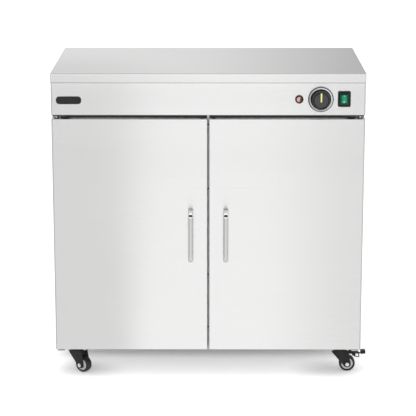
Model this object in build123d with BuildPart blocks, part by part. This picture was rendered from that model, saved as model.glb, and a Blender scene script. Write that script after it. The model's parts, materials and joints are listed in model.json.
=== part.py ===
from build123d import *
import os
from math import cos, radians, sin

os.makedirs("parts", exist_ok=True)

# Overall sizes, in millimetres
worktop_width = 850.0
cabinet_depth = 480.0  # door face to the rear edge of the worktop
overall_height = 860.0

# Sheet metal
sheet = 1.0
worktop_sheet = 1.2
inner_bend = 0.8  # inside radius of every fold
wall_thickness = 25.0  # outer skin to the inside of the chamber
screw_shank = 1.75  # radius of the panel screws
screw_head = 4.0
screw_head_height = 2.4
screw_length = 7.0
screw_head_edge = 1.2
screw_slot_length = 4.8  # cross recess in the head
screw_slot_width = 1.2
screw_slot_depth = 1.4
screw_clearance = 0.1
side_screw_count = 5
side_screw_margin = 60.0  # from the panel's ends
base_screw_pitch = 250.0
panel_clearance = 0.1  # holes in the fascia around what they hold

# Worktop
worktop_lip = 26.0
lip_clearance = 0.3  # between the lips and the body inside them
rear_overhang = 20.0  # worktop past the back panel's seat
worktop_corner = 2.6

# Cooling slots in the back panel
vent_length = 60.0
vent_width = 5.0
vent_pitch = 85.0
vent_rise = 14.0
vent_columns = 6
vent_rows = 3

# Control fascia
fascia_height = 88.0  # below the worktop's lip
controls_rise = 44.0  # control centers above the fascia's lower edge

# Doors
door_thickness = 25.0
door_standoff = 7.0  # doors in front of the carcass
door_top_gap = 10.5
door_bottom_gap = 10.0  # doors above the underside of the cabinet
center_gap = 4.5
liner_fit = 0.2  # door liner inside the door skin

# Door pivots
pivot_inset = 13.0  # pivot axis from the door's side edge
pivot_depth = 14.0  # pivot axis behind the door face
pin_radius = 2.5
pin_reach = 14.0  # pin inside the door
running_clearance = 0.05
bush_radius = 4.0
bush_flange = 5.6
bush_flange_height = 1.2
bush_length = 15.0
bush_fit = 0.05
hinge_plate_height = 3.0
hinge_plate_length = 46.0
hinge_plate_inset = 2.5  # from the cabinet's side
hinge_plate_setback = 3.0  # behind the door face
lower_hinge_length = 20.0
lower_hinge_inset = 4.5
hinge_float = 0.2  # lower plate under the door's bush
hinge_bolt_inset = 36.0
hinge_bolt_radius = 4.0
hinge_bolt_head = 7.5  # circumradius of the hexagon
hinge_bolt_head_height = 4.5
hinge_bolt_nut_height = 6.0
bolt_clearance = 0.2
hex_sides = 6

# Handles
handle_projection = 36.0
handle_width = 13.6
handle_depth = 10.0
handle_corner = 4.6
handle_length = 147.0
handle_bend = 16.0  # on the bar's center line
handle_offset = 48.0  # from the middle of the cabinet
handle_rise = 4.0  # above the middle of the door

# Front frame
header_height = 60.0
header_drop = 33.5  # header's lower edge below the door's top edge
rail_depth = 20.0
mullion_width = 26.0
seal_width = 6.6
seal_clearance = 0.3  # strip and magnets behind the doors
header_screw_rise = 14.0  # above the header's lower edge
mullion_screw_shank = 1.5
mullion_screw_head = 2.4
mullion_screw_head_height = 2.0
header_screw_length = 3.0
magnet_offset = 45.0
magnet_width = 32.0
magnet_height = 15.0
magnet_drop = 17.0  # magnet's middle below the door's top edge

# Chamber and shelves
liner_joint = 0.1  # between the liner's side and rear panels
shelf_heights = {"heater_deck": 163.5, "lower_shelf": 316.0, "upper_shelf": 559.5}  # top faces
shelf_sheet = 1.2
shelf_lip = 15.0
shelf_side_gap = 1.5
shelf_front_gap = 4.0  # behind the mullion
shelf_rear_gap = 7.0
slot_length = 70.0
slot_width = 9.0
slot_columns = 8
slot_rows = 7
slot_side_margin = 40.0
slot_front_margin = 43.5
support_sheet = 1.5
rail_leg = 15.0
bracket_leg = 22.0
bracket_drop = 14.0
insulation_fit = 0.3
ceiling_insulation = 24.0
wiring_height = 72.0  # space left at the foot of the rear cavity

# Heating element
element_radius = 4.25
element_rise = 17.0  # tube's center above the chamber floor
element_half_width = 320.0
element_front_gap = 70.0  # behind the mullion's back
element_rear_gap = 60.0
element_bend = 38.0
element_lead = 45.0  # leads either side of the middle
element_tail = 13.0  # leads past the liner
element_collar = 9.0
element_collar_height = 4.0
element_hole = 6.5
clip_width = 14.0
clip_length = 18.0
clip_cap = 2.0
clip_offset = 200.0
clip_fit = 0.2

# Thermostat and knob
knob_inset = 120.5  # from the cabinet's side
knob_radius = 28.0
knob_face_radius = 22.6
knob_height = 24.0
knob_lift = 0.8  # off the fascia
knob_edge = 2.0
knob_bore_depth = 12.0
bezel_radius = 34.5
bezel_height = 7.0
bezel_gap = 0.8  # around the knob
bezel_edge = 5.0
pointer_width = 4.0
pointer_up = 20.0
pointer_down = 4.0
pointer_depth = 0.8
pointer_proud = 0.25
spindle_radius = 3.0
spindle_hole = 5.0
spindle_depth = 20.0  # inside the thermostat
spindle_fit = 0.03
thermostat_width = 46.0
thermostat_height = 36.0
thermostat_depth = 34.0
capillary_radius = 1.2
capillary_offset = 14.0  # beside the spindle
capillary_setback = 20.0  # behind the header
capillary_hole = 4.0
capillary_bend = 12.0
bulb_radius = 3.5
bulb_length = 90.0
bulb_drop = 14.0  # bulb's center below the chamber ceiling
bulb_run = 30.0  # capillary between its bend and the bulb

# Pilot lamp
lamp_inset = 178.5
lamp_bezel_radius = 11.3
lamp_bezel_height = 3.2
lamp_bezel_edge = 1.0
lamp_seat_radius = 8.6
lamp_seat_depth = 1.6
lamp_barrel_radius = 6.2
lamp_barrel_length = 26.0
lamp_dome_height = 5.2
lamp_fit = 0.1

# Rocker switch
switch_inset = 57.5
switch_rise = 1.0  # above the other controls
switch_width = 34.5
switch_height = 43.0
switch_corner = 4.0
switch_flange = 2.5
switch_body_width = 27.5
switch_body_height = 35.0
switch_body_depth = 26.0
rocker_width = 21.4
rocker_height = 28.0
rocker_gap = 0.9  # rocker in its window
rocker_pocket = 14.0
rocker_tilt = 8.0
rocker_crown = 6.0  # rocker's ends in front of its pivot
rocker_valley = 4.0
rocker_root = 7.0  # rocker behind its pivot
rocker_root_half = 4.7  # half its height there
rocker_pivot_depth = 3.0  # behind the flange's front
rocker_pin = 1.5
rocker_pin_reach = 2.5
boot_wall = 0.8
boot_margin = 2.2  # boot's inside past the rocker
boot_height = 9.5
boot_taper = 6.0
boot_edge = 1.4

# Blank plate
plate_inset = 47.5
plate_width = 68.0
plate_height = 21.0
plate_corner = 9.0
plate_thickness = 1.2
plate_drop = 3.0  # below the control centers

# Cable entry at the back
gland_inset = 93.5
gland_rise = 22.0  # above the chamber floor
gland_bore = 4.5
gland_thread = 10.0
gland_hex = 14.0
gland_hex_height = 7.0
gland_nose = 11.0
gland_nose_height = 11.0
gland_inside = 10.0
gland_locknut_height = 4.0
terminal_inset = 173.5
terminal_width = 60.0
terminal_height = 20.0
terminal_depth = 17.0
terminal_poles = 3
terminal_pitch = 20.0
terminal_spread = 8.0
terminal_screw = 2.0
terminal_screw_depth = 4.0

# Casters
wheel_radius = 22.5
wheel_width = 20.0
wheel_edge = 3.6
hub_radius = 16.2
hub_width = 18.0
hub_boss = 8.0
hub_rim = 3.8
hub_recess = 3.0
tyre_bond = 0.05
axle_radius = 3.0
axle_hex = 5.9  # circumradius of head and nut
axle_hex_height = 5.5
axle_stub = 2.0
trail = 22.0
fork_sheet = 2.2
fork_gap = 25.0  # between the legs
fork_side_clearance = 0.3
fork_boss = 10.0
fork_back = 22.0  # behind the swivel axis
fork_front = 24.0
fork_shoulder = 6.0  # legs' straight height under the crown
wheel_headroom = 17.0
cup_radius = 21.5
cup_height = 2.8
race_gap = 0.3
race_radius = 19.0
race_height = 3.2
swivel_pin = 5.0
swivel_head = 8.0
swivel_head_height = 3.0
caster_plate = 60.0
caster_plate_corner = 7.0
caster_plate_height = 2.5
caster_bolt_offset = 22.0
caster_bolt_radius = 3.0
caster_bolt_head = 5.4
caster_bolt_head_height = 3.6
caster_nut_height = 5.0
caster_inset = 53.5  # swivel axis from the cabinet's side
caster_front_inset = 38.0  # behind the carcass front
caster_rear_inset = 56.0

# Caster brakes, measured from the brake pivot
brake_pivot_back = 8.0  # behind the axle
brake_pivot_rise = 12.0  # above the tyre
brake_pin = 2.0
brake_plate = 3.0
brake_heel = 4.0  # plate behind the pin
brake_arm_high = 3.0  # arm's upper and lower edges from the pin's level
brake_arm_low = 8.5
brake_drop = 22.0  # from the pin to where the lower edge turns down
brake_knee = 28.5
brake_knee_low = 15.8
brake_toe = 32.0
brake_toe_low = 18.0
brake_loop_end = 43.0
brake_neck_high = 4.5  # neck's upper and lower edges below the pin
brake_neck_low = 7.5
brake_window_mid = 36.4
brake_window_low = 12.2
brake_window_width = 8.2
brake_window_height = 8.3
brake_shoe_start = 23.0
brake_shoe_length = 5.0
brake_shoe_low = 12.0  # shoe's underside below the pin
brake_shoe_height = 5.0
brake_shoe_width = 16.0
pedal_start = 46.3
pedal_length = 13.6
pedal_low = 7.0  # pedal's underside below the pin
pedal_height = 9.4
pedal_width = 15.0
pedal_corner = 1.8
pedal_tilt = 4.0

# Levels and planes worked out from the sizes above
axle_z = wheel_radius
fork_crown_z = 2 * wheel_radius + wheel_headroom
cup_z = fork_crown_z + fork_sheet
race_z = cup_z + cup_height + race_gap
caster_plate_z = race_z + race_height
cabinet_z = caster_plate_z + caster_plate_height
worktop_under_z = overall_height - worktop_sheet
lip_bottom_z = overall_height - worktop_lip
fascia_z = lip_bottom_z - fascia_height
controls_z = fascia_z + controls_rise
door_top_z = fascia_z - door_top_gap
door_bottom_z = cabinet_z + door_bottom_gap
door_height = door_top_z - door_bottom_z
door_mid_z = (door_top_z + door_bottom_z) / 2
floor_z = cabinet_z + wall_thickness
floor_top_z = floor_z + sheet
header_z = door_top_z - header_drop
header_top_z = header_z + header_height
ceiling_z = header_z + sheet
face_y = handle_projection - (cabinet_depth + handle_projection) / 2
rear_y = face_y + cabinet_depth
lip_front_y = face_y - worktop_sheet - lip_clearance
door_back_y = face_y + door_thickness
carcass_front_y = door_back_y + door_standoff
carcass_rear_y = rear_y - rear_overhang
liner_rear_y = carcass_rear_y - wall_thickness
rail_back_y = carcass_front_y + rail_depth
body_half = worktop_width / 2 - worktop_sheet - lip_clearance
inner_half = body_half - wall_thickness + sheet
chamber_half = inner_half - sheet
door_width = body_half - center_gap / 2
door_mid_x = (body_half + center_gap / 2) / 2
pivot_x = body_half - pivot_inset
pivot_y = face_y + pivot_depth
fold = sheet + inner_bend
caster_x = body_half - caster_inset
knob_x = body_half - knob_inset
lamp_x = body_half - lamp_inset
switch_x = body_half - switch_inset
plate_x = plate_inset - body_half
gland_x = body_half - gland_inset
terminal_x = body_half - terminal_inset
bracket_screw_drop = shelf_lip + bracket_drop / 2
bracket_screws = [z - bracket_screw_drop for z in shelf_heights.values()]
header_screw_z = header_z + header_screw_rise

# Caster name: side, place in depth, heading of the trail in degrees
caster_spots = {
    "front_left": (-1, carcass_front_y + caster_front_inset, -35.0),
    "front_right": (1, carcass_front_y + caster_front_inset, 0.0),
    "rear_left": (-1, carcass_rear_y - caster_rear_inset, 180.0),
    "rear_right": (1, carcass_rear_y - caster_rear_inset, 150.0),
}
braked_casters = ("front_right", "rear_left")


def save(built, name):
    built.part.label = name
    export_step(built.part, f"parts/{name}.step")


def front_plane(x, z, out=0.0):
    # Parallel to the doors and facing forwards, with x to the right and y up
    return Plane(origin=(x, face_y - out, z), x_dir=(1, 0, 0), z_dir=(0, -1, 0))


def carcass_plane(x, z):
    # As the front plane, on the front of the carcass
    return front_plane(x, z, face_y - carcass_front_y)


def rear_plane(out=0.0):
    # On the back panel's seat and facing backwards, with y up
    return Plane(origin=(0, carcass_rear_y + out, 0), x_dir=(-1, 0, 0), z_dir=(0, 1, 0))


def block(x_span, y_span, z_span, mode=Mode.ADD):
    # A rectangular block between three pairs of coordinates
    spans = [sorted(span) for span in (x_span, y_span, z_span)]
    with Locations(tuple((low + high) / 2 for low, high in spans)):
        Box(*(high - low for low, high in spans), mode=mode)


# Worktop, a pressed pan with lips on all four sides
with BuildPart() as worktop:
    with BuildSketch(Plane.XY.offset(lip_bottom_z)):
        with Locations((0, (lip_front_y + rear_y) / 2)):
            RectangleRounded(worktop_width, rear_y - lip_front_y, worktop_sheet + worktop_corner)
    extrude(amount=worktop_lip)
    fillet(worktop.faces().sort_by(Axis.Z)[-1].edges(), worktop_sheet + inner_bend)
    offset(amount=-worktop_sheet, openings=worktop.faces().sort_by(Axis.Z)[0])
save(worktop, "worktop")

# Control fascia, a shallow tray open at the back, with holes for the controls and the hinge bolts
switch_z = controls_z + switch_rise
hinge_bolt_x = body_half - hinge_bolt_inset
hinge_bolt_y = (face_y + hinge_plate_setback + carcass_front_y) / 2
with BuildPart() as fascia:
    block((-body_half, body_half), (face_y, carcass_front_y), (fascia_z, worktop_under_z))
    fillet(fascia.faces().sort_by(Axis.Y)[0].edges() + fascia.edges().filter_by(Axis.Y), fold)
    offset(amount=-sheet, openings=fascia.faces().sort_by(Axis.Y)[-1])
    with BuildSketch(front_plane(0, controls_z)):
        with Locations((knob_x, 0)):
            Circle(spindle_hole)
        with Locations((lamp_x, 0)):
            Circle(lamp_barrel_radius + panel_clearance)
        with Locations((switch_x, switch_rise)):
            Rectangle(switch_body_width + 2 * panel_clearance, switch_body_height + 2 * panel_clearance)
    extrude(amount=-sheet, mode=Mode.SUBTRACT)
    with BuildSketch(Plane.XY.offset(fascia_z)):
        with Locations((-hinge_bolt_x, hinge_bolt_y), (hinge_bolt_x, hinge_bolt_y)):
            Circle(hinge_bolt_radius + bolt_clearance)
    extrude(amount=sheet, mode=Mode.SUBTRACT)
save(fascia, "control_fascia")

# Screw places on the back, as x and z
side_screw_x = (body_half + inner_half) / 2
side_screw_step = (worktop_under_z - cabinet_z - 2 * side_screw_margin) / (side_screw_count - 1)
side_screw_heights = [cabinet_z + side_screw_margin + side_screw_step * i for i in range(side_screw_count)]
base_screw_z = (cabinet_z + floor_z) / 2
back_screws = [(side * side_screw_x, z) for side in (-1, 1) for z in side_screw_heights]
back_screws += [(base_screw_pitch * i, base_screw_z) for i in (-1, 0, 1)]


def drill_back_screws(depth):
    # Clearance holes from the back, in the part being built
    for x, z in back_screws:
        with Locations(Plane(origin=(x, carcass_rear_y + sheet, z), z_dir=(0, 1, 0))):
            Hole(screw_shank + screw_clearance, depth=depth)


# Side panels, pans with returns on all four sides that form the front posts
for side, name in ((-1, "left_side_panel"), (1, "right_side_panel")):
    with BuildPart() as side_panel:
        block(
            (side * inner_half, side * body_half),
            (carcass_front_y, carcass_rear_y),
            (cabinet_z, worktop_under_z),
        )
        fillet(side_panel.faces().sort_by(Axis.X)[-1 if side > 0 else 0].edges(), fold)
        offset(amount=-sheet, openings=side_panel.faces().sort_by(Axis.X)[0 if side > 0 else -1])
        drill_back_screws(2 * sheet)
    save(side_panel, name)

# Back panel with cooling slots behind the controls and a hole for the cable gland
gland_z = floor_top_z + gland_rise
with BuildPart() as back_panel:
    block(
        (-side_screw_x - screw_head - sheet, side_screw_x + screw_head + sheet),
        (carcass_rear_y, carcass_rear_y + sheet),
        (cabinet_z + sheet, lip_bottom_z),
    )
    drill_back_screws(2 * sheet)
    with BuildSketch(rear_plane()):
        with Locations((-gland_x, gland_z)):
            Circle(gland_thread + bolt_clearance)
        with Locations((0, controls_z)):
            with GridLocations(vent_pitch, vent_rise, vent_columns, vent_rows):
                SlotOverall(vent_length, vent_width)
    extrude(amount=sheet, mode=Mode.SUBTRACT)
save(back_panel, "back_panel")

# Base tray, which carries the casters
bolt_signs = [(i, j) for i in (-1, 1) for j in (-1, 1)]
caster_bolts = [
    (side * caster_x + i * caster_bolt_offset, y + j * caster_bolt_offset)
    for side, y, heading in caster_spots.values()
    for i, j in bolt_signs
]
with BuildPart() as base_tray:
    block((-inner_half, inner_half), (carcass_front_y, carcass_rear_y), (cabinet_z, floor_z))
    offset(amount=-sheet, openings=base_tray.faces().sort_by(Axis.Z)[-1])
    with BuildSketch(Plane.XY.offset(cabinet_z)):
        with Locations(*caster_bolts):
            Circle(caster_bolt_radius + bolt_clearance)
    extrude(amount=sheet, mode=Mode.SUBTRACT)
    drill_back_screws(2 * sheet)
save(base_tray, "base_tray")

# Header rail, a channel open to the back
screw_hole = mullion_screw_shank + screw_clearance
with BuildPart() as header_rail:
    block((-inner_half, inner_half), (carcass_front_y, rail_back_y), (header_z, header_top_z))
    block(
        (-inner_half, inner_half),
        (carcass_front_y + sheet, rail_back_y),
        (header_z + sheet, header_top_z - sheet),
        mode=Mode.SUBTRACT,
    )
    with BuildSketch(carcass_plane(0, header_screw_z)):
        Circle(screw_hole)
    extrude(amount=-sheet, mode=Mode.SUBTRACT)
save(header_rail, "header_rail")

# Center mullion, a channel open to the back, between the floor and the header
with BuildPart() as center_mullion:
    half = mullion_width / 2
    block((-half, half), (carcass_front_y, rail_back_y), (floor_top_z, header_z))
    block(
        (sheet - half, half - sheet),
        (carcass_front_y + sheet, rail_back_y),
        (floor_top_z, header_z),
        mode=Mode.SUBTRACT,
    )
    with BuildSketch(carcass_plane(0, 0)):
        with Locations(*[(0, z) for z in bracket_screws]):
            Circle(screw_hole)
    extrude(amount=-sheet, mode=Mode.SUBTRACT)
save(center_mullion, "center_mullion")

# Seal strip behind the doors' meeting edges, holed for the screw heads
with BuildPart() as mullion_seal:
    block(
        (-seal_width / 2, seal_width / 2),
        (door_back_y + seal_clearance, carcass_front_y),
        (door_bottom_z, fascia_z),
    )
    with BuildSketch(carcass_plane(0, 0)):
        with Locations(*[(0, z) for z in [*bracket_screws, header_screw_z]]):
            Circle(mullion_screw_head + screw_clearance)
    extrude(amount=door_standoff, mode=Mode.SUBTRACT)
save(mullion_seal, "mullion_seal")

# Magnets that hold the doors shut, on the header
with BuildPart() as door_magnets:
    with BuildSketch(carcass_plane(0, door_top_z - magnet_drop)):
        with Locations((-magnet_offset, 0), (magnet_offset, 0)):
            Rectangle(magnet_width, magnet_height)
    extrude(amount=door_standoff - seal_clearance)
    chamfer(door_magnets.faces().group_by(Axis.Y)[0].edges(), sheet)
save(door_magnets, "door_magnets")

# Chamber floor, on the base tray
with BuildPart() as chamber_floor:
    block((-inner_half, inner_half), (carcass_front_y, carcass_rear_y), (floor_z, floor_top_z))
save(chamber_floor, "chamber_floor")

# Chamber liner: two sides and the rear, which lets the element's leads through
element_z = floor_top_z + element_rise
element_ends = [(-element_lead, element_z), (element_lead, element_z)]
with BuildPart() as liner_panels:
    for side in (-1, 1):
        block(
            (side * chamber_half, side * inner_half),
            (carcass_front_y, liner_rear_y - liner_joint),
            (floor_top_z, header_z),
        )
    block((-inner_half, inner_half), (liner_rear_y, liner_rear_y + sheet), (floor_top_z, ceiling_z))
    with BuildSketch(rear_plane(liner_rear_y - carcass_rear_y)):
        with Locations(*element_ends):
            Circle(element_hole)
    extrude(amount=sheet, mode=Mode.SUBTRACT)
save(liner_panels, "chamber_liner")

# Chamber ceiling, on the liner and the header's lower return, with a hole for the capillary
capillary_x = knob_x + capillary_offset
capillary_y = rail_back_y + capillary_setback
with BuildPart() as chamber_ceiling:
    block(
        (-inner_half, inner_half),
        (carcass_front_y + sheet, carcass_rear_y),
        (ceiling_z, ceiling_z + sheet),
    )
    with BuildSketch(Plane.XY.offset(ceiling_z)):
        with Locations((capillary_x, capillary_y)):
            Circle(capillary_hole)
    extrude(amount=sheet, mode=Mode.SUBTRACT)
save(chamber_ceiling, "chamber_ceiling")

# Insulation slabs in the sides, the rear, over the ceiling and under the floor
nut_top_z = cabinet_z + sheet + caster_nut_height
ceiling_top_z = ceiling_z + sheet
with BuildPart() as insulation_slabs:
    for side in (-1, 1):
        block(
            (side * (inner_half + insulation_fit), side * (body_half - sheet - insulation_fit)),
            (carcass_front_y + sheet + insulation_fit, carcass_rear_y - screw_length - insulation_fit),
            (cabinet_z + sheet + insulation_fit, ceiling_top_z + ceiling_insulation),
        )
    block(
        (-inner_half, inner_half),
        (liner_rear_y + sheet + insulation_fit, carcass_rear_y - insulation_fit),
        (floor_top_z + wiring_height, ceiling_z - insulation_fit),
    )
    block(
        (-chamber_half, chamber_half),
        (rail_back_y + insulation_fit, liner_rear_y),
        (ceiling_top_z + insulation_fit, ceiling_top_z + ceiling_insulation),
    )
    with BuildSketch(Plane.XY.offset(ceiling_top_z)):
        with Locations((capillary_x, capillary_y)):
            Circle(capillary_hole)
    extrude(amount=ceiling_insulation, mode=Mode.SUBTRACT)
    tray_half = inner_half - sheet - insulation_fit
    block(
        (-tray_half, tray_half),
        (carcass_front_y + sheet + insulation_fit, carcass_rear_y - screw_length - insulation_fit),
        (nut_top_z + insulation_fit, floor_z - insulation_fit),
    )
save(insulation_slabs, "insulation_slabs")

# Slotted shelves with turned-down front and rear lips; the lowest covers the heating element
shelf_half = chamber_half - shelf_side_gap
shelf_front_y = rail_back_y + shelf_front_gap
shelf_rear_y = liner_rear_y - shelf_rear_gap
slot_span_x = 2 * (shelf_half - slot_side_margin) - slot_length
slot_span_y = shelf_rear_y - shelf_front_y - 2 * slot_front_margin - slot_width
slot_pitch_x = slot_span_x / (slot_columns - 1)
slot_pitch_y = slot_span_y / (slot_rows - 1)
for name, z in shelf_heights.items():
    with BuildPart() as shelf:
        block((-shelf_half, shelf_half), (shelf_front_y, shelf_rear_y), (z - shelf_lip, z))
        block(
            (-shelf_half, shelf_half),
            (shelf_front_y + shelf_sheet, shelf_rear_y - shelf_sheet),
            (z - shelf_lip, z - shelf_sheet),
            mode=Mode.SUBTRACT,
        )
        with BuildSketch(Plane.XY.offset(z - shelf_sheet)):
            with Locations((0, (shelf_front_y + shelf_rear_y) / 2)):
                with GridLocations(slot_pitch_x, slot_pitch_y, slot_columns, slot_rows):
                    SlotOverall(slot_length, slot_width)
        extrude(amount=shelf_sheet, mode=Mode.SUBTRACT)
    save(shelf, name)

# Shelf supports: an angle on each side and a bracket at the mullion and at the rear
rail_margin = shelf_sheet + shelf_front_gap
with BuildPart() as shelf_supports:
    for z in shelf_heights.values():
        top = z - shelf_sheet
        for side in (-1, 1):
            span_y = (shelf_front_y + rail_margin, shelf_rear_y - rail_margin)
            wall_span = (side * (chamber_half - support_sheet), side * chamber_half)
            block(wall_span, span_y, (top - rail_leg, top))
            block((side * (chamber_half - rail_leg), side * chamber_half), span_y, (top - support_sheet, top))
        seat = z - shelf_lip
        for wall_y, inward in ((rail_back_y, 1), (liner_rear_y, -1)):
            span_x = (-mullion_width / 2, mullion_width / 2)
            block(span_x, (wall_y, wall_y + inward * support_sheet), (seat - bracket_drop, seat))
            block(span_x, (wall_y, wall_y + inward * bracket_leg), (seat - support_sheet, seat))
    with BuildSketch(carcass_plane(0, 0).offset(-rail_depth)):
        with Locations(*[(0, z) for z in bracket_screws]):
            Circle(screw_hole)
    extrude(amount=-support_sheet, mode=Mode.SUBTRACT)
save(shelf_supports, "shelf_supports")

# Tubular heating element, one loop round the floor with both leads at the rear
element_front_y = rail_back_y + element_front_gap
element_rear_y = liner_rear_y - element_rear_gap
element_tip_y = liner_rear_y + sheet + element_tail
with BuildPart() as heating_element:
    with BuildLine() as element_path:
        FilletPolyline(
            (-element_lead, element_tip_y, element_z),
            (-element_lead, element_rear_y, element_z),
            (-element_half_width, element_rear_y, element_z),
            (-element_half_width, element_front_y, element_z),
            (element_half_width, element_front_y, element_z),
            (element_half_width, element_rear_y, element_z),
            (element_lead, element_rear_y, element_z),
            (element_lead, element_tip_y, element_z),
            radius=element_bend,
        )
    with BuildSketch(Plane(element_path.line @ 0, x_dir=(1, 0, 0), z_dir=element_path.line % 0)):
        Circle(element_radius)
    sweep()
    with BuildSketch(rear_plane(liner_rear_y - carcass_rear_y)):
        with Locations(*element_ends):
            Circle(element_collar)
    extrude(amount=-element_collar_height)
save(heating_element, "heating_element")

# Clips that carry the element above the floor
with BuildPart() as element_clips:
    for x in (-clip_offset, clip_offset):
        for y in (element_front_y, element_rear_y):
            block(
                (x - clip_width / 2, x + clip_width / 2),
                (y - clip_length / 2, y + clip_length / 2),
                (floor_top_z, element_z + element_radius + clip_cap),
            )
            with Locations(Plane(origin=(x + clip_width / 2, y, element_z), z_dir=(1, 0, 0))):
                Hole(element_radius + clip_fit, depth=clip_width)
save(element_clips, "element_clips")

# Thermostat behind the fascia, with its capillary led down to a bulb under the ceiling
thermostat_back_y = face_y + sheet + thermostat_depth
bulb_z = ceiling_z - bulb_drop
with BuildPart() as thermostat:
    with BuildSketch(front_plane(knob_x, controls_z, -sheet)):
        Rectangle(thermostat_width, thermostat_height)
    extrude(amount=-thermostat_depth)
    fillet(thermostat.edges().filter_by(Axis.Y), inner_bend)
    with BuildLine() as capillary_path:
        FilletPolyline(
            (capillary_x, thermostat_back_y, controls_z),
            (capillary_x, capillary_y, controls_z),
            (capillary_x, capillary_y, bulb_z),
            (capillary_x, capillary_y + capillary_bend + bulb_run, bulb_z),
            radius=capillary_bend,
        )
    with BuildSketch(Plane(capillary_path.line @ 0, x_dir=(1, 0, 0), z_dir=capillary_path.line % 0)):
        Circle(capillary_radius)
    sweep()
    with BuildSketch(Plane(capillary_path.line @ 1, x_dir=(1, 0, 0), z_dir=capillary_path.line % 1)):
        Circle(bulb_radius)
    extrude(amount=bulb_length)
    with BuildSketch(front_plane(knob_x, controls_z, -sheet)):
        Circle(spindle_radius + running_clearance)
    extrude(amount=-spindle_depth - running_clearance, mode=Mode.SUBTRACT)
save(thermostat, "thermostat")

# Spindle from the thermostat into the knob
with BuildPart() as spindle:
    with BuildSketch(front_plane(knob_x, controls_z, -sheet - spindle_depth)):
        Circle(spindle_radius)
    extrude(amount=spindle_depth + sheet + knob_lift + knob_bore_depth)
save(spindle, "thermostat_spindle")

# Knob: a tapered cap with a bore for the spindle and a groove for its pointer
pointer_mid = (pointer_up - pointer_down) / 2
pointer_length = pointer_up + pointer_down
knob_face_out = knob_lift + knob_height
with BuildPart() as knob:
    with BuildSketch(front_plane(knob_x, controls_z, knob_lift)):
        Circle(knob_radius)
    with BuildSketch(front_plane(knob_x, controls_z, knob_face_out)):
        Circle(knob_face_radius)
    loft()
    fillet(knob.faces().sort_by(Axis.Y)[0].edges(), knob_edge)
    with BuildSketch(front_plane(knob_x, controls_z, knob_lift)):
        Circle(spindle_radius + spindle_fit)
    extrude(amount=knob_bore_depth, mode=Mode.SUBTRACT)
    with BuildSketch(front_plane(knob_x, controls_z + pointer_mid, knob_face_out)):
        Rectangle(pointer_width + 2 * running_clearance, pointer_length + 2 * running_clearance)
    extrude(amount=-pointer_depth, mode=Mode.SUBTRACT)
save(knob, "knob")

# Pointer laid into the knob's face
with BuildPart() as knob_pointer:
    with BuildSketch(front_plane(knob_x, controls_z + pointer_mid, knob_face_out - pointer_depth)):
        Rectangle(pointer_width, pointer_length)
    extrude(amount=pointer_depth + pointer_proud)
save(knob_pointer, "knob_pointer")

# Bright ring round the knob
with BuildPart() as knob_bezel:
    with BuildSketch(front_plane(knob_x, controls_z)):
        Circle(bezel_radius)
        Circle(knob_radius + bezel_gap, mode=Mode.SUBTRACT)
    extrude(amount=bezel_height)
    fillet(knob_bezel.faces().sort_by(Axis.Y)[0].edges().sort_by(SortBy.LENGTH)[-1], bezel_edge)
save(knob_bezel, "knob_bezel")

# Pilot lamp: a holder with a seat, and a domed lens in it
with BuildPart() as lamp_holder:
    with BuildSketch(front_plane(lamp_x, controls_z)):
        Circle(lamp_bezel_radius)
    extrude(amount=lamp_bezel_height)
    fillet(lamp_holder.faces().sort_by(Axis.Y)[0].edges(), lamp_bezel_edge)
    with BuildSketch(front_plane(lamp_x, controls_z)):
        Circle(lamp_barrel_radius)
    extrude(amount=-lamp_barrel_length)
    with BuildSketch(front_plane(lamp_x, controls_z, lamp_bezel_height)):
        Circle(lamp_seat_radius)
    extrude(amount=-lamp_seat_depth, mode=Mode.SUBTRACT)
save(lamp_holder, "lamp_holder")

lens_radius = lamp_seat_radius - lamp_fit
with BuildPart() as lamp_lens:
    with BuildSketch(front_plane(lamp_x, controls_z, lamp_bezel_height - lamp_seat_depth)):
        Circle(lens_radius)
    extrude(amount=lamp_seat_depth + lamp_dome_height)
    fillet(lamp_lens.faces().sort_by(Axis.Y)[0].edges(), lamp_dome_height)
save(lamp_lens, "lamp_lens")

# Rocker switch: a housing with a pocket, the rocker on its pins, and a clear boot over it
rocker_pivot_out = switch_flange - rocker_pivot_depth
window_width = rocker_width + 2 * rocker_gap
window_height = rocker_height + 2 * rocker_gap
with BuildPart() as switch_housing:
    with BuildSketch(front_plane(switch_x, switch_z)):
        RectangleRounded(switch_width, switch_height, switch_corner)
    extrude(amount=switch_flange)
    with BuildSketch(front_plane(switch_x, switch_z)):
        Rectangle(switch_body_width, switch_body_height)
    extrude(amount=-switch_body_depth)
    with BuildSketch(front_plane(switch_x, switch_z, switch_flange)):
        Rectangle(window_width, window_height)
    extrude(amount=-rocker_pocket, mode=Mode.SUBTRACT)
    pin_half = rocker_width / 2 + rocker_pin_reach + running_clearance
    with BuildSketch(Plane.YZ.offset(switch_x - pin_half)):
        with Locations((face_y - rocker_pivot_out, switch_z)):
            Circle(rocker_pin + running_clearance)
    extrude(amount=2 * pin_half, mode=Mode.SUBTRACT)
save(switch_housing, "switch_housing")

rocker_plane = Plane(
    origin=(switch_x, face_y - rocker_pivot_out, switch_z),
    x_dir=(0, -cos(radians(rocker_tilt)), -sin(radians(rocker_tilt))),
    z_dir=(-1, 0, 0),
)
with BuildPart() as switch_rocker:
    with BuildSketch(rocker_plane):
        with BuildLine():
            half = rocker_height / 2
            low_end = (rocker_crown, -half)
            high_end = (rocker_crown, half)
            ThreePointArc(low_end, (rocker_valley, 0), high_end)
            Polyline(
                high_end,
                (0, half),
                (-rocker_root, rocker_root_half),
                (-rocker_root, -rocker_root_half),
                (0, -half),
                low_end,
            )
        make_face()
    extrude(amount=rocker_width / 2, both=True)
    with BuildSketch(rocker_plane):
        Circle(rocker_pin)
    extrude(amount=rocker_width / 2 + rocker_pin_reach, both=True)
save(switch_rocker, "switch_rocker")

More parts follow.
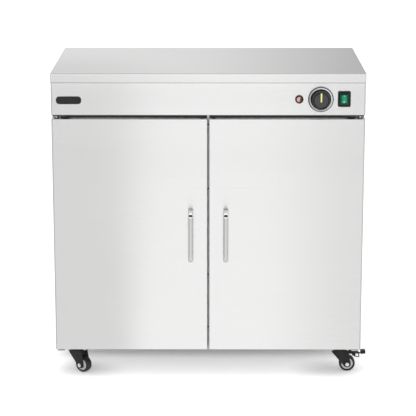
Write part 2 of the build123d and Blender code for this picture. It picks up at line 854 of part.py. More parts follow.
boot_width = rocker_width + 2 * boot_margin
boot_length = rocker_height + 2 * boot_margin
with BuildPart() as switch_boot:
    with BuildSketch(front_plane(switch_x, switch_z, switch_flange)):
        RectangleRounded(boot_width + 2 * boot_wall, boot_length + 2 * boot_wall, switch_corner)
    extrude(amount=boot_height, taper=boot_taper)
    fillet(switch_boot.faces().sort_by(Axis.Y)[0].edges(), boot_edge)
    with BuildSketch(front_plane(switch_x, switch_z, switch_flange)):
        RectangleRounded(boot_width, boot_length, switch_corner - boot_wall)
    extrude(amount=boot_height - boot_wall, taper=boot_taper, mode=Mode.SUBTRACT)
save(switch_boot, "switch_boot")

# Blank plate at the left of the fascia
with BuildPart() as nameplate:
    with BuildSketch(front_plane(plate_x, controls_z - plate_drop)):
        RectangleRounded(plate_width, plate_height, plate_corner)
    extrude(amount=plate_thickness)
save(nameplate, "nameplate")

# Cable gland through the back panel, and the terminal block inside
with BuildPart() as cable_gland:
    with BuildSketch(rear_plane(sheet)):
        with Locations((-gland_x, gland_z)):
            RegularPolygon(gland_hex, hex_sides)
    extrude(amount=gland_hex_height)
    with BuildSketch(rear_plane(sheet + gland_hex_height)):
        with Locations((-gland_x, gland_z)):
            Circle(gland_nose)
    extrude(amount=gland_nose_height)
    fillet(cable_gland.faces().sort_by(Axis.Y)[-1].edges(), worktop_corner)
    with BuildSketch(rear_plane(sheet)):
        with Locations((-gland_x, gland_z)):
            Circle(gland_thread)
    extrude(amount=-sheet - gland_inside)
    with BuildSketch(rear_plane()):
        with Locations((-gland_x, gland_z)):
            RegularPolygon(gland_hex, hex_sides)
    extrude(amount=-gland_locknut_height)
    with BuildSketch(rear_plane(sheet + gland_hex_height + gland_nose_height)):
        with Locations((-gland_x, gland_z)):
            Circle(gland_bore)
    extrude(amount=-gland_nose_height - gland_hex_height - sheet - gland_inside, mode=Mode.SUBTRACT)
save(cable_gland, "cable_gland")

with BuildPart() as terminal_block:
    with BuildSketch(rear_plane(liner_rear_y + sheet - carcass_rear_y)):
        with Locations((-terminal_x, gland_z)):
            Rectangle(terminal_width, terminal_height)
    extrude(amount=terminal_depth)
    with BuildSketch(rear_plane(liner_rear_y + sheet + terminal_depth - carcass_rear_y)):
        with Locations((-terminal_x, gland_z)):
            with GridLocations(terminal_pitch, terminal_spread, terminal_poles, 2):
                Circle(terminal_screw)
    extrude(amount=-terminal_screw_depth, mode=Mode.SUBTRACT)
save(terminal_block, "terminal_block")

# Hinge plates over and under the doors
lower_plate_top_z = door_bottom_z - bush_flange_height - hinge_float
hinge_front_y = face_y + hinge_plate_setback
with BuildPart() as hinge_plates:
    for side in (-1, 1):
        edge = body_half - hinge_plate_inset
        span_x = (side * edge, side * (edge - hinge_plate_length))
        block(span_x, (hinge_front_y, carcass_front_y), (fascia_z - hinge_plate_height, fascia_z))
        edge = body_half - lower_hinge_inset
        span_x = (side * edge, side * (edge - lower_hinge_length))
        block(
            span_x,
            (hinge_front_y, carcass_front_y),
            (lower_plate_top_z - hinge_plate_height, lower_plate_top_z),
        )
        leg_span_y = (carcass_front_y - hinge_plate_height, carcass_front_y)
        block(span_x, leg_span_y, (cabinet_z + fold, lower_plate_top_z))
    with BuildSketch(Plane.XY.offset(fascia_z)):
        with Locations((-hinge_bolt_x, hinge_bolt_y), (hinge_bolt_x, hinge_bolt_y)):
            Circle(hinge_bolt_radius + bolt_clearance)
    extrude(amount=-hinge_plate_height, mode=Mode.SUBTRACT)
    with BuildSketch(Plane.XY.offset(lower_plate_top_z - hinge_plate_height)):
        with Locations((-pivot_x, pivot_y), (pivot_x, pivot_y)):
            Circle(pin_radius + bush_fit)
    extrude(amount=fascia_z - lower_plate_top_z + hinge_plate_height, mode=Mode.SUBTRACT)
save(hinge_plates, "hinge_plates")

# Hinge pins, riveted into the plates
pin_spans = (
    (door_top_z - pin_reach, fascia_z),
    (lower_plate_top_z - hinge_plate_height, door_bottom_z + pin_reach),
)
with BuildPart() as hinge_pins:
    for low, high in pin_spans:
        with BuildSketch(Plane.XY.offset(low)):
            with Locations((-pivot_x, pivot_y), (pivot_x, pivot_y)):
                Circle(pin_radius)
        extrude(amount=high - low)
save(hinge_pins, "hinge_pins")

# Cabinet fasteners: hinge bolts with nuts, back panel screws and mullion screws
bracket_screw_length = rail_depth + support_sheet + screw_head_height
with BuildPart() as cabinet_fasteners:
    with BuildSketch(Plane.XY.offset(fascia_z - hinge_plate_height)):
        with Locations((-hinge_bolt_x, hinge_bolt_y), (hinge_bolt_x, hinge_bolt_y)):
            RegularPolygon(hinge_bolt_head, hex_sides)
    extrude(amount=-hinge_bolt_head_height)
    with BuildSketch(Plane.XY.offset(fascia_z - hinge_plate_height)):
        with Locations((-hinge_bolt_x, hinge_bolt_y), (hinge_bolt_x, hinge_bolt_y)):
            Circle(hinge_bolt_radius)
    extrude(amount=hinge_plate_height + sheet + hinge_bolt_nut_height)
    with BuildSketch(Plane.XY.offset(fascia_z + sheet)):
        with Locations((-hinge_bolt_x, hinge_bolt_y), (hinge_bolt_x, hinge_bolt_y)):
            RegularPolygon(hinge_bolt_head, hex_sides)
    extrude(amount=hinge_bolt_nut_height)
    for radius, length in ((screw_head, screw_head_height), (screw_shank, -screw_length)):
        with BuildSketch(rear_plane(sheet)):
            with Locations(*[(-x, z) for x, z in back_screws]):
                Circle(radius)
        extrude(amount=length)
    fillet(cabinet_fasteners.faces().group_by(Axis.Y)[-1].edges(), screw_head_edge)
    with BuildSketch(rear_plane(sheet + screw_head_height)):
        with Locations(*[(-x, z) for x, z in back_screws]):
            Rectangle(screw_slot_length, screw_slot_width)
            Rectangle(screw_slot_width, screw_slot_length)
    extrude(amount=-screw_slot_depth, mode=Mode.SUBTRACT)
    with BuildSketch(carcass_plane(0, 0)):
        with Locations(*[(0, z) for z in [*bracket_screws, header_screw_z]]):
            Circle(mullion_screw_head)
    extrude(amount=mullion_screw_head_height)
    with BuildSketch(carcass_plane(0, 0)):
        with Locations(*[(0, z) for z in bracket_screws]):
            Circle(mullion_screw_shank)
    extrude(amount=-bracket_screw_length)
    with BuildSketch(carcass_plane(0, header_screw_z)):
        Circle(mullion_screw_shank)
    extrude(amount=-header_screw_length)
save(cabinet_fasteners, "cabinet_fasteners")


def make_door(side, prefix):
    # The same four corners are bushed on both doors, so either door hangs on either side
    corner_x = (side * pivot_x, side * (center_gap / 2 + pivot_inset))
    corners = [(x, pivot_y) for x in corner_x]

    with BuildPart() as skin:
        with BuildSketch(front_plane(side * door_mid_x, door_mid_z)):
            Rectangle(door_width, door_height)
        extrude(amount=-door_thickness)
        fillet(skin.faces().sort_by(Axis.Y)[0].edges(), fold)
        offset(amount=-sheet, openings=skin.faces().sort_by(Axis.Y)[-1])
        with BuildSketch(Plane.XY.offset(door_bottom_z)):
            with Locations(*corners):
                Circle(bush_radius + bush_fit)
        extrude(amount=door_height, mode=Mode.SUBTRACT)
    save(skin, f"{prefix}_door_skin")

    liner_inset = 2 * (sheet + liner_fit)
    liner_flange = door_thickness - pivot_depth - bush_radius - sheet
    with BuildPart() as liner:
        with BuildSketch(front_plane(side * door_mid_x, door_mid_z, -door_thickness)):
            Rectangle(door_width - liner_inset, door_height - liner_inset)
        extrude(amount=liner_flange)
        offset(amount=-sheet, openings=liner.faces().sort_by(Axis.Y)[0])
    save(liner, f"{prefix}_door_liner")

    with BuildPart() as bushes:
        for z, outward in ((door_top_z, 1), (door_bottom_z, -1)):
            for radius, length in ((bush_flange, bush_flange_height), (bush_radius, -bush_length)):
                with BuildSketch(Plane.XY.offset(z)):
                    with Locations(*corners):
                        Circle(radius)
                extrude(amount=outward * length)
        with BuildSketch(Plane.XY.offset(door_bottom_z - bush_flange_height)):
            with Locations(*corners):
                Circle(pin_radius + running_clearance)
        extrude(amount=door_height + 2 * bush_flange_height, mode=Mode.SUBTRACT)
    save(bushes, f"{prefix}_door_bushes")

    # A rounded bar bent forwards at both ends
    reach_y = face_y - handle_projection + handle_depth / 2
    handle_x = side * handle_offset
    top = door_mid_z + handle_rise + (handle_length - handle_depth) / 2
    foot = top - handle_length + handle_depth
    with BuildPart() as handle:
        with BuildLine() as path:
            FilletPolyline(
                (handle_x, face_y, top),
                (handle_x, reach_y, top),
                (handle_x, reach_y, foot),
                (handle_x, face_y, foot),
                radius=handle_bend,
            )
        with BuildSketch(Plane(path.line @ 0, x_dir=(1, 0, 0), z_dir=path.line % 0)):
            RectangleRounded(handle_width, handle_depth, handle_corner)
        sweep()
    save(handle, f"{prefix}_handle")


make_door(-1, "left")
make_door(1, "right")

# Caster plates under the base, each with the upper race of its swivel
caster_centers = [(side * caster_x, y) for side, y, heading in caster_spots.values()]
with BuildPart() as caster_plates:
    with BuildSketch(Plane.XY.offset(caster_plate_z)):
        with Locations(*caster_centers):
            RectangleRounded(caster_plate, caster_plate, caster_plate_corner)
    extrude(amount=caster_plate_height)
    with BuildSketch(Plane.XY.offset(race_z)):
        with Locations(*caster_centers):
            Circle(race_radius)
    extrude(amount=race_height)
    with BuildSketch(Plane.XY.offset(race_z)):
        with Locations(*caster_centers):
            Circle(swivel_pin + bush_fit)
        with Locations(*caster_bolts):
            Circle(caster_bolt_radius + bolt_clearance)
    extrude(amount=race_height + caster_plate_height, mode=Mode.SUBTRACT)
save(caster_plates, "caster_plates")

# Caster fasteners: four bolts with nuts to a plate, and a swivel rivet in each
with BuildPart() as caster_fasteners:
    with BuildSketch(Plane.XY.offset(caster_plate_z)):
        with Locations(*caster_bolts):
            RegularPolygon(caster_bolt_head, hex_sides)
    extrude(amount=-caster_bolt_head_height)
    with BuildSketch(Plane.XY.offset(caster_plate_z)):
        with Locations(*caster_bolts):
            Circle(caster_bolt_radius)
    extrude(amount=nut_top_z - caster_plate_z)
    with BuildSketch(Plane.XY.offset(cabinet_z + sheet)):
        with Locations(*caster_bolts):
            RegularPolygon(caster_bolt_head, hex_sides)
    extrude(amount=caster_nut_height)
    rivet_head_z = fork_crown_z - race_gap
    with BuildSketch(Plane.XY.offset(rivet_head_z)):
        with Locations(*caster_centers):
            Circle(swivel_pin)
    extrude(amount=cabinet_z - rivet_head_z)
    with BuildSketch(Plane.XY.offset(rivet_head_z)):
        with Locations(*caster_centers):
            Circle(swivel_head)
    extrude(amount=-swivel_head_height)
save(caster_fasteners, "caster_fasteners")

brake_pivot = (trail - brake_pivot_back, 2 * wheel_radius + brake_pivot_rise)
leg_inner = fork_gap / 2
leg_outer = leg_inner + fork_sheet


def caster_level(name, z):
    # Level plane on a swivel axis, with x along the caster's trail
    side, y, heading = caster_spots[name]
    turn = radians(heading)
    return Plane(origin=(side * caster_x, y, z), x_dir=(cos(turn), sin(turn), 0), z_dir=(0, 0, 1))


def caster_side(name, shift=0.0):
    # Upright plane of a wheel, with x along the trail and y up
    side, y, heading = caster_spots[name]
    turn = radians(heading)
    origin = (side * caster_x, y, 0)
    sideways = (sin(turn), -cos(turn), 0)
    return Plane(origin=origin, x_dir=(cos(turn), sin(turn), 0), z_dir=sideways).offset(shift)


def make_fork(name):
    crown_mid = (fork_front - fork_back) / 2
    crown_length = fork_front + fork_back
    with BuildPart() as fork:
        for shift in (-leg_outer, leg_inner):
            with BuildSketch(caster_side(name, shift)):
                with Locations((trail, axle_z)):
                    Circle(fork_boss)
                with Locations((crown_mid, cup_z - fork_shoulder / 2)):
                    Rectangle(crown_length, fork_shoulder)
                make_hull()
            extrude(amount=fork_sheet)
        with BuildSketch(caster_level(name, fork_crown_z)):
            with Locations((crown_mid, 0)):
                Rectangle(crown_length, 2 * leg_outer)
        extrude(amount=fork_sheet)
        with BuildSketch(caster_level(name, cup_z)):
            Circle(cup_radius)
        extrude(amount=cup_height)
        with BuildSketch(caster_level(name, fork_crown_z)):
            Circle(swivel_pin + running_clearance)
        extrude(amount=fork_sheet + cup_height, mode=Mode.SUBTRACT)
        with BuildSketch(caster_side(name)):
            with Locations((trail, axle_z)):
                Circle(axle_radius + bush_fit)
            if name in braked_casters:
                with Locations(brake_pivot):
                    Circle(brake_pin + running_clearance)
        extrude(amount=leg_outer, both=True, mode=Mode.SUBTRACT)
    save(fork, f"{name}_fork")


def make_axle(name):
    # A bolt with a hexagon head and a nut outside the fork's legs
    with BuildPart() as axle:
        with BuildSketch(caster_side(name)):
            with Locations((trail, axle_z)):
                Circle(axle_radius)
        extrude(amount=leg_outer + axle_hex_height + axle_stub, both=True)
        for shift in (leg_outer, -leg_outer - axle_hex_height):
            with BuildSketch(caster_side(name, shift)):
                with Locations((trail, axle_z)):
                    RegularPolygon(axle_hex, hex_sides)
            extrude(amount=axle_hex_height)
    save(axle, f"{name}_axle")


def make_wheel(name):
    # A tyre bonded round a hub, whose boss runs on the axle between the fork's legs
    with BuildPart() as wheel:
        with BuildSketch(caster_side(name)):
            with Locations((trail, axle_z)):
                Circle(wheel_radius)
                Circle(hub_radius + tyre_bond, mode=Mode.SUBTRACT)
        extrude(amount=wheel_width / 2, both=True)
        fillet(wheel.edges().filter_by(GeomType.CIRCLE).group_by(SortBy.RADIUS)[-1], wheel_edge)
        with BuildSketch(caster_side(name)):
            with Locations((trail, axle_z)):
                Circle(hub_radius)
        extrude(amount=hub_width / 2, both=True)
        for shift in (hub_width / 2 - hub_recess, -hub_width / 2):
            with BuildSketch(caster_side(name, shift)):
                with Locations((trail, axle_z)):
                    Circle(hub_radius - hub_rim)
            extrude(amount=hub_recess, mode=Mode.SUBTRACT)
        with BuildSketch(caster_side(name)):
            with Locations((trail, axle_z)):
                Circle(hub_boss)
        extrude(amount=leg_inner - fork_side_clearance, both=True)
        with BuildSketch(caster_side(name)):
            with Locations((trail, axle_z)):
                Circle(axle_radius + running_clearance)
        extrude(amount=leg_inner, both=True, mode=Mode.SUBTRACT)
    save(wheel, f"{name}_wheel")


def make_brake(name):
    # A windowed plate on a pin through the fork, with a shoe over the tyre and a foot pedal
    pin_u, pin_z = brake_pivot
    with BuildPart() as brake:
        with BuildSketch(caster_side(name)):
            with BuildLine():
                Polyline(
                    (pin_u - brake_heel, pin_z + brake_arm_high),
                    (pin_u + brake_toe, pin_z + brake_arm_high),
                    (pin_u + brake_loop_end, pin_z - brake_neck_high),
                    (pin_u + pedal_start + pedal_corner, pin_z - brake_neck_high),
                    (pin_u + pedal_start + pedal_corner, pin_z - brake_neck_low),
                    (pin_u + brake_loop_end, pin_z - brake_neck_low),
                    (pin_u + brake_loop_end, pin_z - brake_toe_low),
                    (pin_u + brake_toe, pin_z - brake_toe_low),
                    (pin_u + brake_knee, pin_z - brake_knee_low),
                    (pin_u + brake_drop, pin_z - brake_arm_low),
                    (pin_u - brake_heel, pin_z - brake_arm_low),
                    close=True,
                )
            make_face()
            with Locations((pin_u + brake_window_mid, pin_z - brake_window_low)):
                Rectangle(brake_window_width, brake_window_height, mode=Mode.SUBTRACT)
        extrude(amount=brake_plate / 2, both=True)
        corner = (Align.MIN, Align.MIN)
        with BuildSketch(caster_side(name)):
            with Locations((pin_u + brake_shoe_start, pin_z - brake_shoe_low)):
                Rectangle(brake_shoe_length, brake_shoe_height, align=corner)
        extrude(amount=brake_shoe_width / 2, both=True)
        with BuildSketch(caster_side(name)):
            with Locations((pin_u + pedal_start, pin_z - pedal_low)):
                RectangleRounded(pedal_length, pedal_height, pedal_corner, rotation=pedal_tilt, align=corner)
        extrude(amount=pedal_width / 2, both=True)
        with BuildSketch(caster_side(name)):
            with Locations(brake_pivot):
                Circle(brake_pin)
        extrude(amount=leg_outer, both=True)
    save(brake, f"{name}_brake")


for caster in caster_spots:
    make_fork(caster)
    make_axle(caster)
    make_wheel(caster)
for caster in braked_casters:
    make_brake(caster)
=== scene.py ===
import bmesh
import bpy
import json
import math
import numpy as np
from mathutils import Matrix, Vector


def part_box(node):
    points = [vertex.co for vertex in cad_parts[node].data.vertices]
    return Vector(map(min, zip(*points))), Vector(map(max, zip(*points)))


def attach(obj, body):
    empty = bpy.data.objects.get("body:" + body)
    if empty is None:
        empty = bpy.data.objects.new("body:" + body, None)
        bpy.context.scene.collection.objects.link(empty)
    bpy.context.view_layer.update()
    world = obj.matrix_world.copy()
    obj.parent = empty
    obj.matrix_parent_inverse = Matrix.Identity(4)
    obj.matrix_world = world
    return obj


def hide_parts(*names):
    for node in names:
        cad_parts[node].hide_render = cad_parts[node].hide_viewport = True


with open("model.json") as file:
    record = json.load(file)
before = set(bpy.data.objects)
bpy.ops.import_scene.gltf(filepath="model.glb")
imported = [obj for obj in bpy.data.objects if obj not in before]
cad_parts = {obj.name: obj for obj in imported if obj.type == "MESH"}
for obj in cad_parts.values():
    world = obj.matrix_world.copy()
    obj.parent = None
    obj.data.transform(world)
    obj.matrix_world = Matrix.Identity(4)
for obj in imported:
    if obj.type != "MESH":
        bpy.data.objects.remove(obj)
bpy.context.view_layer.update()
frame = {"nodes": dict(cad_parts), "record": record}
nodes = frame["nodes"]
mm = 0.001


class Wire:
    # One socket of a shader; sums, products and powers of wires add Math nodes
    def __init__(self, tree, socket=None):
        self.tree = tree
        self.socket = socket

    def node(self, kind, settings=None, sockets=None, out=0):
        # A new node from its type, its settings and the values or wires of its sockets
        made = self.tree.nodes.new("ShaderNode" + kind)
        for key, value in (settings or {}).items():
            setattr(made, key, value)
        for key, value in (sockets or {}).items():
            if isinstance(value, Wire):
                self.tree.links.new(value.socket, made.inputs[key])
            else:
                made.inputs[key].default_value = value
        return Wire(self.tree, made.outputs[out])

    def beside(self, out):
        # Another output of the same node
        return Wire(self.tree, self.socket.node.outputs[out])

    def axes(self):
        # X, Y and Z of a vector
        parts = self.node("SeparateXYZ", {}, {"Vector": self})
        return [parts.beside(axis) for axis in "XYZ"]

    def math(self, operation, first, second=0.0):
        return self.node("Math", {"operation": operation}, {0: first, 1: second})

    def __add__(self, other):
        return self.math("ADD", self, other)

    def __radd__(self, other):
        return self.math("ADD", other, self)

    def __sub__(self, other):
        return self.math("SUBTRACT", self, other)

    def __rsub__(self, other):
        return self.math("SUBTRACT", other, self)

    def __mul__(self, other):
        return self.math("MULTIPLY", self, other)

    def __rmul__(self, other):
        return self.math("MULTIPLY", other, self)

    def __truediv__(self, other):
        return self.math("DIVIDE", self, other)

    def __pow__(self, other):
        return self.math("POWER", self, other)

    def least(self, other):
        return self.math("MINIMUM", self, other)

    def most(self, other):
        return self.math("MAXIMUM", self, other)

    def size(self):
        return self.math("ABSOLUTE", self)

    def ramp(self, low, high, start=0.0, end=1.0):
        # Smooth rise from start to end while the value runs from low to high
        limits = {"Value": self, "From Min": low, "From Max": high, "To Min": start, "To Max": end}
        return self.node("MapRange", {"interpolation_type": "SMOOTHSTEP"}, limits, "Result")

    def mix(self, first, second):
        # Colour mix with this wire as the factor; the numbers are the colour sockets of a Mix node
        return self.node("Mix", {"data_type": "RGBA"}, {0: self, 6: first, 7: second}, 2)


def grey(value, warm=0.0):
    return (value * (1 + warm), value, value * (1 - warm), 1.0)


def newFinish(name, constants):
    # Material with its constants set; gives it, its shader and the Object coordinates
    made = bpy.data.materials.new(name)
    made.use_nodes = True
    shader = made.node_tree.nodes["Principled BSDF"]
    for key, value in constants.items():
        shader.inputs[key].default_value = value
    start = Wire(made.node_tree)
    return made, shader, start.node("TexCoord", out="Object")


def feed(shader, **wires):
    # Links wires to the shader: baseColor goes to Base Color, and so on
    names = {"baseColor": "Base Color", "roughness": "Roughness", "metallic": "Metallic",
             "alpha": "Alpha", "glow": "Emission Color", "normal": "Normal"}
    for key, wire in wires.items():
        wire.tree.links.new(wire.socket, shader.inputs[names[key]])


def noise(place, scale, detail=3.0, stretch=(1, 1, 1), roughness=0.55):
    moved = place.node("Mapping", {}, {"Vector": place, "Scale": tuple(scale * s for s in stretch)})
    sockets = {"Vector": moved, "Scale": 1.0, "Detail": detail, "Roughness": roughness}
    return place.node("TexNoise", {}, sockets, "Fac")


def bump(height, strength, distance):
    sockets = {"Height": height, "Strength": strength, "Distance": distance}
    return height.node("Bump", {}, sockets, "Normal")


def fromMiddle(place, look):
    # Across and up from the middle of a control on the fascia
    moved = place.node("Mapping", {}, {"Vector": place, "Location": (-look["x"], 0.0, -look["z"])})
    across, _, up = moved.axes()
    return across, up


def edgeShadeMask(place, node, width):
    # One along the edges of a node's box, falling to nought by the width:
    # the middle one of its distances to the faces
    # mask for the painted shade along bent edges
    low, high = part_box(node)
    a, b, c = ((part - low[i]).least(high[i] - part) for i, part in enumerate(place.axes()))
    return a.least(b).most(a.most(b).least(c)).ramp(0.0, width, 1.0, 0.0)


brushedLook = {
    "grainScale": 1100.0,       # lines per metre across the brushing
    "grainStretch": 0.012,      # their scale along it, as a share
    "bandScale": 122.22,        # broader lines
    "bandStretch": 0.0072,
    "cloudScale": 4.0,
    "toneSpread": (0.965, 1.03),
    "warm": 0.004,
    "roughGrain": 0.10,
    "roughCloud": 0.05,
    "grainHeight": 0.01,        # millimetres
    "waveScale": 2.2,
    "wave": 0.05,               # millimetres
    # width and tone of the painted shade along bent edges
    "edgeShadeWidth": 2.2 * mm,
    "edgeShadeTone": 0.55,
    "rim": (419.5 * mm, 422.5 * mm),    # the cabinet's outer sides, darkened by the share as painted shade
    "rimShadeShare": 0.0,
}


def brushedSteel(name, node, ownLook):
    # Satin stainless: long fine brush lines, slow clouds in tone and gloss, painted shade along the edges where
    # it is bent and at the cabinet's outer sides, painted light and shade by height, and painted shade over a
    # top face
    look = {**brushedLook, **ownLook}
    tone, (low, high) = look["tone"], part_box(node)
    made, shader, place = newFinish(name, {"Metallic": 1.0, "Anisotropic": look["skew"],
                                           "Anisotropic Rotation": 0.25})
    x, y, z = place.axes()

    def brushed(scale, stretch):
        return noise(place, scale, 2.0, [stretch if axis == look["along"] else 1.0 for axis in range(3)])

    grain = brushed(look["grainScale"], look["grainStretch"])
    band = brushed(look["bandScale"], look["bandStretch"])
    cloud = noise(place, look["cloudScale"])
    blend = cloud * 0.5 + band * 0.5

    def tinted(share):
        return blend.mix(*(grey(tone * share * end, look["warm"]) for end in look["toneSpread"]))

    tint = tinted(1.0)
    # painted light and shade by height: the tone share changes from low to high
    if "heightShading" in look:
        tint = z.ramp(*look["heightShading"]).mix(*(tinted(share) for share in look["heightShadingShares"]))
    # painted shade over the top face, darkest near the corner of lowest x and y
    if "wearAndTopShade" in look:
        fromCorner = ((x - low[0]) ** 2 + (y - low[1]) ** 2) ** 0.5
        upper = fromCorner.ramp(*look["corner"]).mix(*(tinted(share) for share in look["wearAndTopShade"]))
        tint = z.ramp(high[2] - look["topShadeDepth"], high[2]).mix(tint, upper)
    # painted shade along bent edges and at the cabinet's outer sides
    edge = edgeShadeMask(place, node, look["edgeShadeWidth"]).most(x.size().ramp(*look["rim"]) * look["rimShadeShare"])
    feed(shader, baseColor=edge.mix(tint, grey(tone * look["edgeShadeTone"])))
    gloss = (grain - 0.5) * look["roughGrain"] + (cloud - 0.5) * look["roughCloud"]
    feed(shader, roughness=look["rough"] + gloss)
    height = (grain + band) * look["grainHeight"] + noise(place, look["waveScale"], 1.0) * look["wave"]
    feed(shader, normal=bump(height, 1.0, 1.0 * mm))
    return made


millLook = {"cloudScale": 9.0, "fineScale": 420.0, "flakeScale": 260.0,
            "dark": (0.92, 0.006), "light": (1.06, -0.006),     # share of the tone and warmth
            "roughFine": 0.14, "roughCloud": 0.10, "bump": (0.25, 0.03 * mm)}


def millSteel(name, tone, rough, speck=0.0):
    # Plain mill finish, or zinc where speck gives its crystal patches
    look = millLook
    made, shader, place = newFinish(name, {"Metallic": 1.0})
    cloud = noise(place, look["cloudScale"], 4.0)
    fine = noise(place, look["fineScale"])
    flake = place.node("TexVoronoi", {}, {"Vector": place, "Scale": look["flakeScale"]}, "Color")
    flakeTone = flake.node("SeparateColor", {}, {"Color": flake}, "Red")
    ends = [grey(tone * share, warm) for share, warm in (look["dark"], look["light"])]
    feed(shader, baseColor=(cloud * (1 - speck) + flakeTone * speck).mix(*ends))
    feed(shader, roughness=rough + (fine - 0.5) * look["roughFine"] + (cloud - 0.5) * look["roughCloud"])
    feed(shader, normal=bump(fine, *look["bump"]))
    return made


# the blacked side is painted shade
shadeBlackedLook = {"fineScale": 420.0, "zinc": (0.50, 0.66), "shadeBlack": 0.022, "rough": 0.26, "roughFine": 0.16}
screwLook = {**shadeBlackedLook, "axis": 1, "level": (-151 * mm, -149 * mm), "ends": (1.0, 0.0)}
hingeLook = {**shadeBlackedLook, "axis": 2, "level": (399 * mm, 401 * mm), "ends": (0.0, 1.0)}


def shadeBlackedPart(name, look):
    # Zinc plate, blacked on one side of a level as painted shade: the screws in front, the hinge plates on top
    made, shader, place = newFinish(name, {})
    shadeBlack = place.axes()[look["axis"]].ramp(*look["level"], *look["ends"])
    fine = noise(place, look["fineScale"])
    zinc = fine.mix(*(grey(tone) for tone in look["zinc"]))
    feed(shader, baseColor=shadeBlack.mix(zinc, grey(look["shadeBlack"])))
    feed(shader, metallic=1 - shadeBlack, roughness=look["rough"] + fine * look["roughFine"])
    return made


# painted highlight over the upper bend, painted shade on the bar next to the door
barLook = {"tone": 0.64, "bend": (474 * mm, 480 * mm), "bendTone": 0.88, "hazeRise": 1.05,
           "footShade": (-240 * mm, -228 * mm), "footShadeTone": 0.22,
           "buffScale": 900.0, "buffStretch": (1.0, 1.0, 0.03), "buffBump": (0.12, 0.02 * mm),
           "hazeScale": 60.0, "rough": 0.07, "roughHaze": 0.05, "roughBuff": 0.04}


def brightSteel(name, look):
    # Polished bar: near mirror with faint buffing lines and a little haze, a painted highlight over the upper
    # bend and painted shade on the bar next to the door
    made, shader, place = newFinish(name, {"Metallic": 1.0})
    buff = noise(place, look["buffScale"], 2.0, look["buffStretch"])
    haze = noise(place, look["hazeScale"])
    _, y, z = place.axes()
    bend = z.ramp(*look["bend"])
    tones = [bend.mix(grey(look["tone"] * rise), grey(look["bendTone"] * rise))
             for rise in (1.0, look["hazeRise"])]
    feed(shader, baseColor=y.ramp(*look["footShade"]).mix(haze.mix(*tones), grey(look["footShadeTone"])))
    feed(shader, roughness=look["rough"] + (haze - 0.4) * look["roughHaze"] + (buff - 0.5) * look["roughBuff"])
    feed(shader, normal=bump(buff, *look["buffBump"]))
    return made


mouldedLook = {"blotchScale": 45.0, "blotch": (0.3, 0.75), "poreShare": 0.2,
               "pale": (1.35, 0.012), "deep": 0.82,     # paler by a share and a little more, darker by a share
               "roughPores": 0.16, "roughBlotch": 0.12, "poreHeight": 0.06 * mm}


def moulded(name, tone, rough, pore=900.0, depth=0.3, wearAndTopShade=0.5, shine=0.5):
    # Moulded plastic or rubber: fine pores, slow blotches and paler handled patches
    look = mouldedLook
    made, shader, place = newFinish(name, {"Specular IOR Level": shine})
    pores = noise(place, pore)
    blotch = noise(place, look["blotchScale"], 4.0)
    pale = [min(c * look["pale"][0] + look["pale"][1], 1.0) for c in tone]
    deep = [c * look["deep"] for c in tone]
    share = blotch.ramp(*look["blotch"]) * wearAndTopShade + pores * look["poreShare"]
    feed(shader, baseColor=share.mix((*deep, 1.0), (*pale, 1.0)))
    feed(shader, roughness=rough + (pores - 0.5) * look["roughPores"] + (blotch - 0.5) * look["roughBlotch"])
    feed(shader, normal=bump(pores, depth, look["poreHeight"]))
    return made


# painted reflection from left to right, painted shade on the outer rim
bezelLook = {"x": 303 * mm, "z": 790 * mm, "rim": (29.8 * mm, 33.0 * mm), "rimShadeTone": 0.12, "rimRough": 0.15,
             "paintedReflection": (-26.0 * mm, 20.0 * mm), "slant": 0.3, "shadedTones": (0.48, 0.54),
             "litTones": (0.84, 0.90), "hazeScale": 160.0, "rough": 0.09, "roughHaze": 0.05}


def maskedBezel(name, look):
    # Chrome ring with a painted reflection, greyer at its left and bright to the right, and painted shade
    # darkening its outer rim where it meets the fascia
    made, shader, place = newFinish(name, {"Metallic": 1.0})
    across, up = fromMiddle(place, look)
    rim = ((across ** 2 + up ** 2) ** 0.5).ramp(*look["rim"])
    haze = noise(place, look["hazeScale"])
    paintedReflection = (across + up * look["slant"]).ramp(*look["paintedReflection"])
    shadedChrome, clear = (haze.mix(*(grey(tone) for tone in look[key])) for key in ("shadedTones", "litTones"))
    feed(shader, baseColor=rim.mix(paintedReflection.mix(shadedChrome, clear), grey(look["rimShadeTone"])))
    feed(shader, roughness=look["rough"] + haze * look["roughHaze"] + rim * look["rimRough"])
    return made


rockerLook = {"x": 366 * mm, "z": 791 * mm, "coreHalf": (7.0 * mm, 10.6 * mm), "bar": (0.7 * mm, 2.1 * mm),
              "ring": (1.9 * mm, 0.65 * mm), "markRise": 8.2 * mm, "markShare": 0.8,
              "rimGreen": (0.008, 0.045, 0.028, 1.0), "coreGreen": (0.0, 0.21, 0.10, 1.0),
              "speckGreen": (0.02, 0.16, 0.09, 1.0), "markTone": (0.75, 0.85, 0.8, 1.0),
              "speckScale": 520.0, "speckShare": 0.35, "glow": 0.48, "glowGreen": (0.0, 0.22, 0.10, 1.0)}


